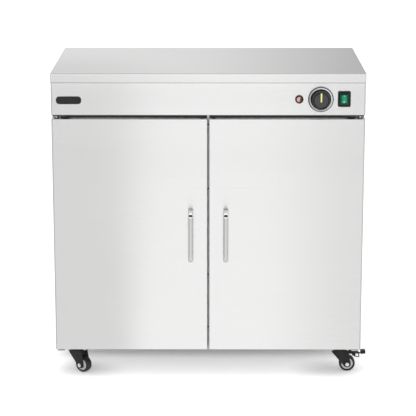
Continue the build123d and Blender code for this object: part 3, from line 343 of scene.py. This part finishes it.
def litRocker(name, look):
    # Green rocker lit from inside: a bright core, a dark rim, a bar and a ring as its marks
    made, shader, place = newFinish(name, {"Roughness": 0.3, "Specular IOR Level": 0.12,
                                           "Emission Strength": look["glow"]})
    across, up = fromMiddle(place, look)

    def within(half, rise, edge):
        # One inside a rectangle round a point on the middle line, nought outside it
        share = (across.size() / half[0]).most((up - rise).size() / half[1])
        return share.ramp(*edge, 1.0, 0.0)

    core = within(look["coreHalf"], 0.0, (0.75, 1.15))
    bar = within(look["bar"], look["markRise"], (0.8, 1.1))
    ringRadius, ringHalf = look["ring"]
    ringGap = ((across ** 2 + (up + look["markRise"]) ** 2) ** 0.5 - ringRadius).size()
    marks = bar.most(ringGap.ramp(ringHalf * 0.6, ringHalf, 1.0, 0.0))
    green = core.mix(look["rimGreen"], look["coreGreen"])
    speckled = (noise(place, look["speckScale"]) * look["speckShare"]).mix(green, look["speckGreen"])
    feed(shader, baseColor=(marks * look["markShare"]).mix(speckled, look["markTone"]))
    feed(shader, glow=(core * (1 - marks)).mix(grey(0.0), look["glowGreen"]))
    return made


bootLook = {"tone": (0.05, 0.10, 0.085, 1.0), "hazeScale": 300.0, "alpha": 0.02, "alphaHaze": 0.06,
            "rough": 0.08, "roughHaze": 0.12}


def clearBoot(name, look):
    # Clear soft boot with a faint haze and scratches
    made, shader, place = newFinish(name, {"Base Color": look["tone"], "IOR": 1.4, "Specular IOR Level": 0.25})
    haze = noise(place, look["hazeScale"], 4.0)
    feed(shader, alpha=look["alpha"] + haze * look["alphaHaze"])
    feed(shader, roughness=look["rough"] + haze * look["roughHaze"])
    return made


# painted highlight and painted shade across the lens
amberLook = {"x": 245 * mm, "z": 790 * mm, "side": (-1.5 * mm, 3.5 * mm), "slant": 0.25,
             "outer": (5.4 * mm, 8.0 * mm), "cellScale": 700.0, "cellShare": 0.5,
             "highlightPink": (0.56, 0.36, 0.30, 1.0), "shadeRed": (0.075, 0.016, 0.011, 1.0)}


def amberLens(name, look):
    # Moulded lens: a painted highlight in pale pink, painted shade in dark red at the far side and round the
    # rim
    made, shader, place = newFinish(name, {"Roughness": 0.12, "Coat Weight": 0.8, "IOR": 1.5})
    across, up = fromMiddle(place, look)
    side = (across - up * look["slant"]).ramp(*look["side"])
    outer = ((across ** 2 + up ** 2) ** 0.5).ramp(*look["outer"])
    cells = (noise(place, look["cellScale"], 2.0) - 0.5) * look["cellShare"]
    feed(shader, baseColor=(side + cells).ramp(0.0, 1.0).most(outer).mix(look["highlightPink"], look["shadeRed"]))
    return made


coatLook = {"tones": (0.009, 0.019), "scuffTone": 0.040, "peelScale": 700.0, "peelBump": (0.3, 0.08 * mm),
            "dustScale": 55.0, "dust": (0.35, 0.75), "scuffScale": 130.0, "scuffStretch": (1.0, 1.0, 0.35),
            "scuff": (0.62, 0.74), "shine": (0.6, 0.75), "rough": 0.40, "roughDust": 0.16, "roughScuff": 0.06}


def blackCoat(name, look):
    # Black powder coat: orange-peel bump, dust on it and grey scuffs
    made, shader, place = newFinish(name, {"Specular IOR Level": 0.25})
    dust = noise(place, look["dustScale"], 5.0)
    scuff = noise(place, look["scuffScale"], 4.0, look["scuffStretch"])
    darkTone = dust.ramp(*look["dust"]).mix(*(grey(tone) for tone in look["tones"]))
    feed(shader, baseColor=scuff.ramp(*look["scuff"]).mix(darkTone, grey(look["scuffTone"])))
    gloss = dust * look["roughDust"] - scuff.ramp(*look["shine"]) * look["roughScuff"]
    feed(shader, roughness=look["rough"] + gloss)
    feed(shader, normal=bump(noise(place, look["peelScale"], 2.0), *look["peelBump"]))
    return made


# the dark tone below the seam is painted shade in the gap over the doors
railLook = {"seam": (739.9 * mm, 740.5 * mm), "darkTone": 0.055, "darkToneSpread": (0.85, 1.25),
            "bare": 0.80, "bareSpread": (0.95, 1.05), "poreScale": 700.0, "poreBump": (0.3, 0.06 * mm),
            "rough": 0.6, "bareGloss": 0.35, "roughPores": 0.12}


def shadeCoatedRail(name, look):
    # Header rail: painted shade, a dull dark tone up to a seam behind the doors' upper edges, bare steel over
    # it
    made, shader, place = newFinish(name, {})
    bare = place.axes()[2].ramp(*look["seam"])
    pores = noise(place, look["poreScale"])
    darkTone, steel = (pores.mix(*(grey(look[key] * share) for share in look[key + "Spread"]))
                   for key in ("darkTone", "bare"))
    feed(shader, baseColor=bare.mix(darkTone, steel), metallic=bare)
    feed(shader, roughness=look["rough"] - bare * look["bareGloss"] + (pores - 0.5) * look["roughPores"])
    feed(shader, normal=bump(pores, *look["poreBump"]))
    return made


woolLook = {"fibreScale": 260.0, "fibreStretch": (1.0, 0.25, 1.0), "fibreRoughness": 0.7, "clumpScale": 40.0,
            "deep": (0.42, 0.33, 0.18, 1.0), "pale": (0.78, 0.70, 0.50, 1.0), "bump": (0.8, 1.0 * mm)}


def mineralWool(name, look):
    # Felted fibres in ochre tones
    made, shader, place = newFinish(name, {"Roughness": 0.95})
    fibre = noise(place, look["fibreScale"], 6.0, look["fibreStretch"], look["fibreRoughness"])
    clump = noise(place, look["clumpScale"], 4.0)
    feed(shader, baseColor=(fibre * 0.6 + clump * 0.4).mix(look["deep"], look["pale"]))
    feed(shader, normal=bump(fibre, *look["bump"]))
    return made


print("finishes: helpers ready")

# Brushed sheets: tone, roughness, brushing axis, anisotropy and what else sets each apart
# worktop: painted shade over its top face and a dark painted line along its edges
worktopLook = {"tone": 0.85, "rough": 0.22, "along": 0, "skew": 0.0, "edgeShadeTone": 0.25,
               "topShadeDepth": 1.2 * mm, "wearAndTopShade": (0.61, 0.742), "corner": (0.03, 0.42)}
# doors: painted light, a little paler towards the top, and painted shade at the outer sides
doorLook = {"tone": 0.87, "rough": 0.25, "along": 0, "skew": 0.95, "rimShadeShare": 1.0,
            "heightShading": (610 * mm, 738 * mm), "heightShadingShares": (1.0, 1.05)}
# fascia: painted light, paler towards its bottom
fasciaLook = {**doorLook, "heightShading": (750 * mm, 830 * mm), "heightShadingShares": (1.06, 0.98)}
sideLook = {"tone": 0.78, "rough": 0.27, "along": 1, "skew": 0.9, "grainHeight": 0.004, "roughGrain": 0.03}
backLook = {"tone": 0.76, "rough": 0.30, "along": 0, "skew": 0.8}
nodeFinish = {
    "worktop": brushedSteel("worktopSteel", "worktop", worktopLook),
    "control_fascia": brushedSteel("fasciaSteel", "control_fascia", fasciaLook),
    "left_door_skin": brushedSteel("leftDoorSteel", "left_door_skin", doorLook),
    "right_door_skin": brushedSteel("rightDoorSteel", "right_door_skin", doorLook),
    "left_side_panel": brushedSteel("leftSideSteel", "left_side_panel", sideLook),
    "right_side_panel": brushedSteel("rightSideSteel", "right_side_panel", sideLook),
    "back_panel": brushedSteel("backSteel", "back_panel", backLook),
    "base_tray": millSteel("traySteel", 0.46, 0.42),
    "header_rail": shadeCoatedRail("railShadeCoat", railLook),
    "cabinet_fasteners": shadeBlackedPart("shadedPanelScrews", screwLook),
    "hinge_plates": shadeBlackedPart("shadedHingeSteel", hingeLook),
}
slotFinish = {
    "inner_steel": millSteel("millSteel", 0.70, 0.34),
    "zinc_steel": millSteel("zincPlate", 0.72, 0.26, 0.5),
    "bright_steel": brightSteel("polishedBar", barLook),
    "chrome_ring": maskedBezel("bezelChrome", bezelLook),
    "black_steel": blackCoat("blackCoat", coatLook),
    "element_steel": millSteel("elementSheath", 0.26, 0.48),
    "insulation": mineralWool("mineralWool", woolLook),
    "seal_grey": moulded("sealStrip", (0.78, 0.78, 0.78), 0.55, pore=500.0),
    "magnet_black": moulded("magnetCase", (0.03, 0.03, 0.032), 0.5),
    "knob_grey": moulded("knobPlastic", (0.012, 0.012, 0.013), 0.34, pore=1100.0, depth=0.35, wearAndTopShade=0.15,
                         shine=0.22),
    "pointer_yellow": moulded("pointerInlay", (0.78, 0.72, 0.28), 0.35, pore=1400.0, depth=0.15, wearAndTopShade=0.3),
    "lamp_black": moulded("lampHolder", (0.026, 0.014, 0.012), 0.42, shine=0.12),
    "lens_amber": amberLens("lampLens", amberLook),
    "switch_black": moulded("switchFrame", (0.011, 0.014, 0.014), 0.42, shine=0.12),
    "rocker_green": litRocker("litRocker", rockerLook),
    "boot_clear": clearBoot("clearBoot", bootLook),
    "plate_black": moulded("blankPlate", (0.014, 0.014, 0.015), 0.36, pore=1300.0, depth=0.25, shine=0.2),
    "nylon_black": moulded("blackNylon", (0.022, 0.022, 0.024), 0.45),
    "terminal_white": moulded("terminalBlock", (0.72, 0.70, 0.62), 0.5),
    "thermostat_body": moulded("thermostatBody", (0.46, 0.44, 0.38), 0.5),
    "wheel_rubber": moulded("tyreRubber", (0.018, 0.018, 0.019), 0.55, pore=650.0, depth=0.4, shine=0.3),
}
hubPlastic = moulded("hubPlastic", (0.62, 0.62, 0.61), 0.36, pore=800.0, depth=0.2)
capPlastic = moulded("knobCap", (0.036, 0.036, 0.037), 0.40, pore=1100.0, wearAndTopShade=0.4, shine=0.4)
weldSteel = millSteel("weldSteel", 0.16, 0.40)
for row in frame["record"]["subparts"]:
    name = row["node"]
    nodes[name].data.materials.clear()
    nodes[name].data.materials.append(nodeFinish.get(name) or slotFinish[row["material_slot"]])
print("finishes:", len(bpy.data.materials), "materials on", len(nodes), "nodes")


def gridPiece(name, points, finish, body, capped=True, sharp=40.0):
    # Mesh of a grid of points in metres: quads between rows and columns, round in the columns;
    # the first and last rows get flat caps, or else the rows go round too
    rows, columns = points.shape[:2]
    a, b = np.meshgrid(np.arange(rows - capped), np.arange(columns), indexing="ij")
    nextA, nextB = (a + 1) % rows, (b + 1) % columns
    quads = np.stack([a * columns + b, nextA * columns + b, nextA * columns + nextB, a * columns + nextB], -1)
    faces = quads.reshape(-1, 4).tolist()
    if capped:
        faces += [(np.arange(columns) + row * columns).tolist() for row in (0, rows - 1)]
    mesh = bpy.data.meshes.new(name)
    mesh.from_pydata(points.reshape(-1, 3).tolist(), [], faces)
    work = bmesh.new()
    work.from_mesh(mesh)
    bmesh.ops.recalc_face_normals(work, faces=work.faces)
    work.to_mesh(mesh)
    work.free()
    mesh.shade_smooth()
    mesh.set_sharp_from_angle(angle=math.radians(sharp))
    mesh.materials.append(finish)
    piece = bpy.data.objects.new(name, mesh)
    bpy.context.scene.collection.objects.link(piece)
    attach(piece, body)
    return piece


def spins(turns):
    # Angles round a circle, one row for each
    return np.linspace(0.0, 2 * np.pi, turns, endpoint=False)[:, None]


def arc(middle, radius, start, end, count):
    # Points of a circular arc, angles in degrees, as (axial, radial) pairs
    turn = np.radians(np.linspace(start, end, count))
    return np.stack([middle[0] + radius * np.cos(turn), middle[1] + radius * np.sin(turn)], 1)


def turned(axial, radial, turns, centre, axis, first, second):
    # Surface of revolution: each pair of axial and radial goes round the axis; millimetres in, metres out
    axis, first, second = (np.asarray(v, float) for v in (axis, first, second))
    spin = spins(turns)[..., None]
    out = np.asarray(axial)[..., None] * axis
    out = out + np.asarray(radial)[..., None] * (np.cos(spin) * first + np.sin(spin) * second)
    return (np.asarray(centre, float) + out) * mm


def onFascia(look, out, radius):
    # Rows of circles round a control's middle: out in front of its seat, radius from the middle
    seat = (look["x"], look["seatY"], look["z"])
    return turned(out, radius, look["turns"], seat, (0, -1, 0), (1, 0, 0), (0, 0, 1)).transpose(1, 0, 2)


casterLook = {
    "spots": {"front_left": (-370, -152, -35.0), "front_right": (370, -152, 0.0),
              "rear_left": (-370, 182, 180.0), "rear_right": (370, 182, 150.0)},    # x, y and heading
    "trail": 22.0, "axleRise": 22.5, "turns": 96,
    "tyreHalf": 10.0, "tyreInner": 16.22, "tyreOuter": 22.5, "shoulder": 3.6, "sideStep": 0.3,
    "hubRim": (12.4, 16.18), "hubBoss": (3.08, 8.0), "hubHalf": 9.0, "bossHalf": 12.2, "recessHalf": 6.0,
    "ribCount": 6, "ribHeight": 1.8, "ribWidth": 0.16, "ribBelowRim": 0.6,
}


def tyreProfile(look):
    # Half section mirrored: bore, sidewall with a moulded step, rounded shoulder and a flat tread
    half, inner, outer, shoulder = look["tyreHalf"], look["tyreInner"], look["tyreOuter"], look["shoulder"]
    low = half - look["sideStep"]
    side = [(0.0, inner), (low, inner), (low, inner + 1.1), (half, inner + 1.4), (half, inner + 2.2)]
    crown = arc((half - shoulder, outer - shoulder), shoulder, 0.0, 90.0, 9)
    right = np.concatenate([side, crown, [(0.0, outer)]])
    left = right[::-1][1:-1] * np.array([-1.0, 1.0])
    return np.concatenate([right, left]).T


def hubProfile(look):
    # Half section mirrored, with the recessed floor swelling into ribs:
    # axial height = section(radius) + rib(angle) on the floor, kept below the rim
    r0, r1 = look["hubBoss"]
    r2, r3 = look["hubRim"]
    boss, rim, floor = look["bossHalf"], look["hubHalf"], look["recessHalf"]
    radii, high = np.array([
        (r0, boss - 0.5), (r0 + 0.5, boss), (r1 - 0.4, boss), (r1, boss - 0.4),
        (r1 + 0.15, floor + 2.4), (r1 + 0.7, floor + 0.7), (r1 + 1.6, floor),
        (r2 - 1.6, floor), (r2 - 0.7, floor + 0.5), (r2 - 0.15, rim - 1.0),
        (r2, rim - 0.4), (r2 + 0.5, rim), (r3 - 0.7, rim), (r3 - 0.2, rim - 0.3), (r3, rim - 0.9)]).T
    onFloor = (radii > r1) & (radii < r2)
    phase = (spins(look["turns"]) * look["ribCount"] / (2 * np.pi)) % 1.0
    rib = look["ribHeight"] * np.exp(-((phase - 0.5) / look["ribWidth"]) ** 2)
    face = np.minimum(high + rib * onFloor, np.maximum(high, rim - look["ribBelowRim"]))
    return np.concatenate([face, -face[:, ::-1]], 1), np.concatenate([radii, radii[::-1]])


for name, (x, y, heading) in casterLook["spots"].items():
    turn = math.radians(heading)
    ahead, sideways = (math.cos(turn), math.sin(turn), 0.0), (math.sin(turn), -math.cos(turn), 0.0)
    axle = (x + casterLook["trail"] * ahead[0], y + casterLook["trail"] * ahead[1], casterLook["axleRise"])
    setting = (casterLook["turns"], axle, sideways, ahead, (0, 0, 1))
    tyre = gridPiece(f"{name}_tyre", turned(*tyreProfile(casterLook), *setting), slotFinish["wheel_rubber"],
                     f"{name}_wheel", capped=False)
    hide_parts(f"{name}_wheel")
    gridPiece(f"{name}_hub", turned(*hubProfile(casterLook), *setting), hubPlastic,
              f"{name}_wheel", capped=False)
print("casters: tyres and ribbed hubs")

knobLook = {"x": 303.0, "z": 790.0, "seatY": -222.8, "height": 24.0, "baseRadius": 28.0, "faceRadius": 22.6,
            "edge": 2.0, "faceStep": 0.5, "stepRadius": 19.6, "flutes": 40, "fluteDepth": 0.55, "turns": 320}


def knobSurface(look):
    # Turned cone with a rounded front edge and a sunk face; flutes cut radius by depth * (1 - cos(n angle)) / 2
    base, face, edge, high = look["baseRadius"], look["faceRadius"], look["edge"], look["height"]
    step, sunk = look["stepRadius"], high - look["faceStep"]
    foot = [(0.0, base - 0.6), (0.25, base - 0.1), (0.7, base), (1.4, base - 0.1)]
    rise = np.linspace(3.0, high - edge - 1.0, 10)
    wall = np.stack([rise, base + (face - base) * rise / high], 1)
    corner = arc((high - edge, face - edge), edge, 88.0, 2.0, 9)
    front = [(high, step + 0.4), (high - 0.12, step), (sunk, step - 0.5), (sunk, 8.0), (sunk, 1.0)]
    out, radius = np.concatenate([foot, wall, corner, front]).T
    cut = np.interp(out, [1.4, 3.2, high - edge - 1.5, high - 0.6], [0.0, 1.0, 1.0, 0.0])
    cut = look["fluteDepth"] * np.where(radius > step + 1.0, cut, 0.0)
    return onFascia(look, out, radius - cut * (0.5 - 0.5 * np.cos(look["flutes"] * spins(look["turns"]))))


grip = gridPiece("knob_grip", knobSurface(knobLook), slotFinish["knob_grey"], "knob", sharp=35.0)
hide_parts("knob")

capLook = {**knobLook, "radius": 18.9, "chamfer": 0.3, "sink": 0.2, "proud": 0.3, "turns": 96}


def capSurface(look):
    # Thin turned disc with a small chamfer, set in the knob's sunk face
    face = look["height"] - look["faceStep"]
    floor, top = face - look["sink"], face + look["proud"]
    radius, edge = look["radius"], look["chamfer"]
    profile = np.array([(floor, 1.0), (floor, radius), (top - edge, radius), (top, radius - edge),
                        (top, 9.0), (top, 1.0)])
    return onFascia(look, *profile.T)


gridPiece("knob_cap", capSurface(capLook), capPlastic, "knob", sharp=35.0)

lensLook = {"x": 245.0, "z": 790.0, "seatY": -223.6, "radius": 8.5, "wall": 1.6, "dome": 5.2, "power": 2.6,
            "ripples": 5, "ripple": 0.16, "rings": 44, "pole": 0.08, "turns": 64}


def lensSurface(look):
    # Short wall, then a dome out = dome * (1 - share^power) with concentric ripples moulded in it
    share = np.linspace(1.0, look["pole"], look["rings"])
    dome = look["wall"] + look["dome"] * (1 - share ** look["power"])
    dome += look["ripple"] * np.sin(2 * np.pi * look["ripples"] * share) * np.sin(np.pi * share)
    out = np.concatenate([[0.0, look["wall"] * 0.6], dome])
    return onFascia(look, out, look["radius"] * np.concatenate([[1.0, 1.0], share]))


lens = gridPiece("lamp_dome", lensSurface(lensLook), slotFinish["lens_amber"], "cabinet",
                 sharp=60.0)
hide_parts("lamp_lens")

weldLook = {"offset": 48.0, "middle": 413.25, "spread": 68.5, "faceY": -222.0, "half": (6.8, 5.0),
            "corner": 4.6, "leg": 0.8, "inside": 0.25, "lift": 0.02, "beads": 11, "wobble": 0.15,
            "turns": 72, "steps": 8}


def weldSurface(look, side, end):
    # Cove round a bar's foot: a rounded rectangle grown by leg * (1 - sin t) at a height of leg * (1 - cos t)
    spin = spins(look["turns"])
    t = np.linspace(0.0, np.pi / 2, look["steps"])
    straightX, straightZ = (half - look["corner"] for half in look["half"])
    leg = look["leg"] * (1 + look["wobble"] * np.sin(spin * look["beads"] + side + end))
    grow = look["corner"] - look["inside"] + leg * (1 - np.sin(t))
    x = side * look["offset"] + np.sign(np.cos(spin)) * straightX + grow * np.cos(spin)
    y = look["faceY"] + look["lift"] - leg * (1 - np.cos(t))
    z = look["middle"] + end * look["spread"] + np.sign(np.sin(spin)) * straightZ + grow * np.sin(spin)
    return np.stack([x, y, z], -1).transpose(1, 0, 2) * mm


for side, door in ((-1, "left"), (1, "right")):
    for end, place in ((-1, "lower"), (1, "upper")):
        gridPiece(f"{door}_handle_weld_{place}", weldSurface(weldLook, side, end), weldSteel,
                  f"{door}_door", sharp=60.0)

glandLook = {"x": 330.0, "z": 121.0, "startY": 246.4, "length": 7.6, "radius": 11.05, "wall": 1.2,
             "ribs": 24, "ribHeight": 0.75, "turns": 240}


def glandSurface(look):
    # Sleeve round the gland's nose: radius + rib height * a rounded square wave of the angle
    length, wall = look["length"], look["wall"]
    along, inward, swell = np.array([(0.0, wall, 0.0), (0.0, 0.0, 0.0), (0.5, 0.0, 1.0),
                                     (length - 0.6, 0.0, 1.0), (length, 0.0, 0.0), (length, wall, 0.0)]).T
    wave = 0.5 + 0.5 * np.tanh(3.0 * np.cos(look["ribs"] * spins(look["turns"])))
    radius = look["radius"] - inward + swell * look["ribHeight"] * wave
    middle = (look["x"], look["startY"], look["z"])
    return turned(along, radius, look["turns"], middle, (0, 1, 0), (1, 0, 0), (0, 0, 1)).transpose(1, 0, 2)


gridPiece("gland_grip", glandSurface(glandLook), slotFinish["nylon_black"], "cabinet",
          capped=False)
print("details: knob grip, lens dome, handle welds, gland grip")


def stageSheet(name, look, finish):
    # Level sheet from left to right and from first to last along Y
    corners = [(look[side], look[end], look["rise"]) for side, end in
               (("left", "first"), ("right", "first"), ("right", "last"), ("left", "last"))]
    mesh = bpy.data.meshes.new(name)
    mesh.from_pydata(corners, [], [(0, 1, 2, 3)])
    mesh.materials.append(finish)
    sheet = bpy.data.objects.new(name, mesh)
    bpy.context.scene.collection.objects.link(sheet)
    return sheet


def forMirrors(sheet):
    # Only mirror rays see the sheet
    sheet.visible_camera = sheet.visible_diffuse = sheet.visible_shadow = sheet.visible_transmission = False


floorLook = {"left": -30.0, "right": 30.0, "first": -30.0, "last": 30.0, "rise": 0.0, "tone": 0.90,
             "glow": (0.13, 0.42), "side": 0.38, "front": 0.025, "back": 0.28, "spread": 0.09,
             "patchScale": 0.45, "patchEdge": (0.35, 0.65), "patch": 0.6,
             "caster": (0.35, 0.165), "middle": 0.012, "oval": 0.7, "shade": (0.01, 0.10), "shadeLow": 0.46}


def floorFinish(look):
    # Matt white floor that camera and mirror rays see lifted to white away from the object, so shadows stay;
    # painted shadow round each caster, where the lift is less
    made, shader, place = newFinish("studioFloor", {"Base Color": grey(look["tone"]), "Roughness": 0.9,
                                                    "Specular IOR Level": 0.0, "Emission Strength": 1.0})
    x, y, _ = place.axes()
    away = (x.size() - look["side"]).most(look["front"] - y).most(y - look["back"])
    lift = away.ramp(0.0, look["spread"], *look["glow"])
    # painted shadow: less lift round each caster
    fromX = (x.size() - look["caster"][0]) * look["oval"]
    fromY = (y - look["middle"]).size() - look["caster"][1]
    lift = lift * ((fromX ** 2 + fromY ** 2) ** 0.5).ramp(*look["shade"], look["shadeLow"])
    camera = place.node("LightPath", out="Is Camera Ray")
    glossy = camera.beside("Is Glossy Ray")
    seen = camera.most(glossy).most(camera.beside("Is Transmission Ray"))
    patch = noise(place, look["patchScale"], 1.0).ramp(*look["patchEdge"]) * glossy * look["patch"]
    feed(shader, glow=(seen * lift * (1 - patch)).mix(grey(0.0), grey(1.0)))
    return made


stageSheet("floor", floorLook, floorFinish(floorLook))

cardLook = {
    "left": -9.0, "right": 9.0, "first": -0.30, "last": -28.0, "rise": 0.004,
    "apex": (0.0138, 4.278), "doorY": -0.222,
    "white": 1.0, "farTone": 1.35, "leftTone": 0.64, "rightTone": 0.78,
    "leftEdge": (-0.265, -0.155), "rightEdge": (0.13, 0.43),
    "fade": (-7.5, -6.5), "farEdge": (-14.0, -10.0), "nearFade": (-3.0, -0.5), "nearShare": 0.78,
}


def cardFinish(look):
    # Grey zones on the floor in front, for mirror rays alone: straight edges that spread from an apex
    # behind the doors
    made, shader, place = newFinish("flagCards", {"Base Color": grey(0.0), "Specular IOR Level": 0.0,
                                                  "Emission Strength": look["farTone"]})
    x, y, _ = place.axes()
    apexX, apexY = look["apex"]
    across = (x - apexX) * (apexY - look["doorY"]) / (apexY - y) + apexX
    near = y.ramp(*look["nearFade"], 1.0, look["nearShare"])
    reach = y.ramp(*look["fade"]) * near
    left = across.ramp(*look["leftEdge"], 1.0, 0.0) * reach * (look["white"] - look["leftTone"])
    right = across.ramp(*look["rightEdge"]) * (look["white"] - look["rightTone"])
    far = y.ramp(*look["farEdge"], 1.0, 0.0) * (look["farTone"] - look["white"])
    feed(shader, glow=((look["white"] - left - right + far) / look["farTone"]).mix(grey(0.0), grey(1.0)))
    return made


forMirrors(stageSheet("flag_card", cardLook, cardFinish(cardLook)))

blackLook = {"left": -1.6, "right": 1.6, "first": -1.15, "last": -0.52, "rise": 0.84}


def blackFinish():
    # Black seen from below, clear seen from above
    made, shader, place = newFinish("blackCard", {"Base Color": grey(0.0), "Specular IOR Level": 0.0,
                                                  "Roughness": 1.0})
    feed(shader, alpha=place.node("NewGeometry", out="Backfacing"))
    return made


forMirrors(stageSheet("black_card", blackLook, blackFinish()))

# Levels of the world, then the zones that mirror rays see, by the height or depth of the ray's direction
worldLook = {
    "ambient": 0.80, "mirror": 0.96, "facing": (0.10, 0.35),
    "low": {"tone": 1.30, "upper": (0.24, 0.30)},
    "softbox": {"tone": 1.25, "lower": (0.70, 0.74), "upper": (0.94, 0.965)},
    "cove": {"tone": 1.20, "lower": (0.34, 0.46), "upper": (0.96, 0.985)},
    "zenith": {"tone": 0.60, "lower": (0.975, 0.99)},
    "rear": {"upper": (0.30, 0.42), "depth": (0.2, 0.6), "across": (-0.03, 0.14), "tones": (0.94, 0.45)},
}


def studioWorld(look):
    # White to the camera, plain light for matt surfaces, and a room of paler and darker zones for mirror rays
    world = bpy.data.worlds.new("studio")
    world.use_nodes = True
    bpy.context.scene.world = world
    tree = world.node_tree
    camera = Wire(tree).node("LightPath", out="Is Camera Ray")
    glossy = camera.beside("Is Glossy Ray")
    x, y, z = Wire(tree).node("TexCoord", out="Generated").axes()
    front, behind = (0 - y).ramp(*look["facing"]), y.ramp(*look["facing"])

    def under(zone):
        return z.ramp(*look[zone]["upper"], 1.0, 0.0)

    def over(zone):
        return z.ramp(*look[zone]["lower"])

    rear = look["rear"]
    rearTone = x.ramp(*rear["across"], *rear["tones"])
    room = look["mirror"] + under("rear") * y.ramp(*rear["depth"]) * (rearTone - look["mirror"])
    zones = {"low": under("low") * front, "softbox": over("softbox") * under("softbox") * front,
             "cove": over("cove") * under("cove") * behind, "zenith": over("zenith")}
    for zone, share in zones.items():
        room = room + share * (look[zone]["tone"] - look["mirror"])
    seen = camera.most(camera.beside("Is Transmission Ray"))
    level = look["ambient"] + (1.0 - look["ambient"]) * seen
    level = level * (1 - glossy) + room * glossy
    tree.links.new(level.socket, tree.nodes["Background"].inputs["Color"])


studioWorld(worldLook)

lampLook = {
    "top": {"place": (-0.6, -0.9, 3.0), "aim": (0.0, 0.0, 0.4), "size": 2.4, "power": 16.0},
    "front": {"place": (-0.4, -3.0, 1.1), "aim": (0.0, 0.0, 0.2), "size": 2.0, "power": 30.0},
    "side": {"place": (2.6, -2.2, 1.7), "aim": (0.0, 0.0, 0.4), "size": 1.6, "power": 8.0},
}
for name, look in lampLook.items():
    data = bpy.data.lights.new(name, "AREA")
    data.energy, data.size = look["power"], look["size"]
    lamp = bpy.data.objects.new(name, data)
    lamp.location = look["place"]
    lamp.rotation_euler = (Vector(look["aim"]) - Vector(look["place"])).to_track_quat("-Z", "Y").to_euler()
    lamp.visible_glossy = False
    bpy.context.scene.collection.objects.link(lamp)
print("stage: floor, cards, world and lamps")

# Place in metres, angles in degrees, focal length in pixels of the frame
cameraLook = {"place": (0.0138, -4.722, 1.5825), "yaw": -0.183, "pitch": 13.097, "focal": 1696.0, "frame": 416,
              "shift": (0.0, -0.04), "sensor": 36.0, "reach": 100.0}


def photoCamera(look):
    data = bpy.data.cameras.new("photoCamera")
    data.sensor_width = look["sensor"]
    data.lens = look["focal"] / look["frame"] * look["sensor"]
    data.shift_x, data.shift_y = look["shift"]
    data.clip_end = look["reach"]
    camera = bpy.data.objects.new("photoCamera", data)
    yaw, pitch = math.radians(look["yaw"]), math.radians(look["pitch"])
    ahead = Vector((math.sin(yaw) * math.cos(pitch), math.cos(yaw) * math.cos(pitch), -math.sin(pitch)))
    turn = ahead.to_track_quat("-Z", "Y").to_matrix().to_4x4()
    camera.matrix_world = Matrix.Translation(look["place"]) @ turn
    bpy.context.scene.collection.objects.link(camera)
    bpy.context.scene.camera = camera


photoCamera(cameraLook)
bpy.context.scene.view_settings.view_transform = "Standard"
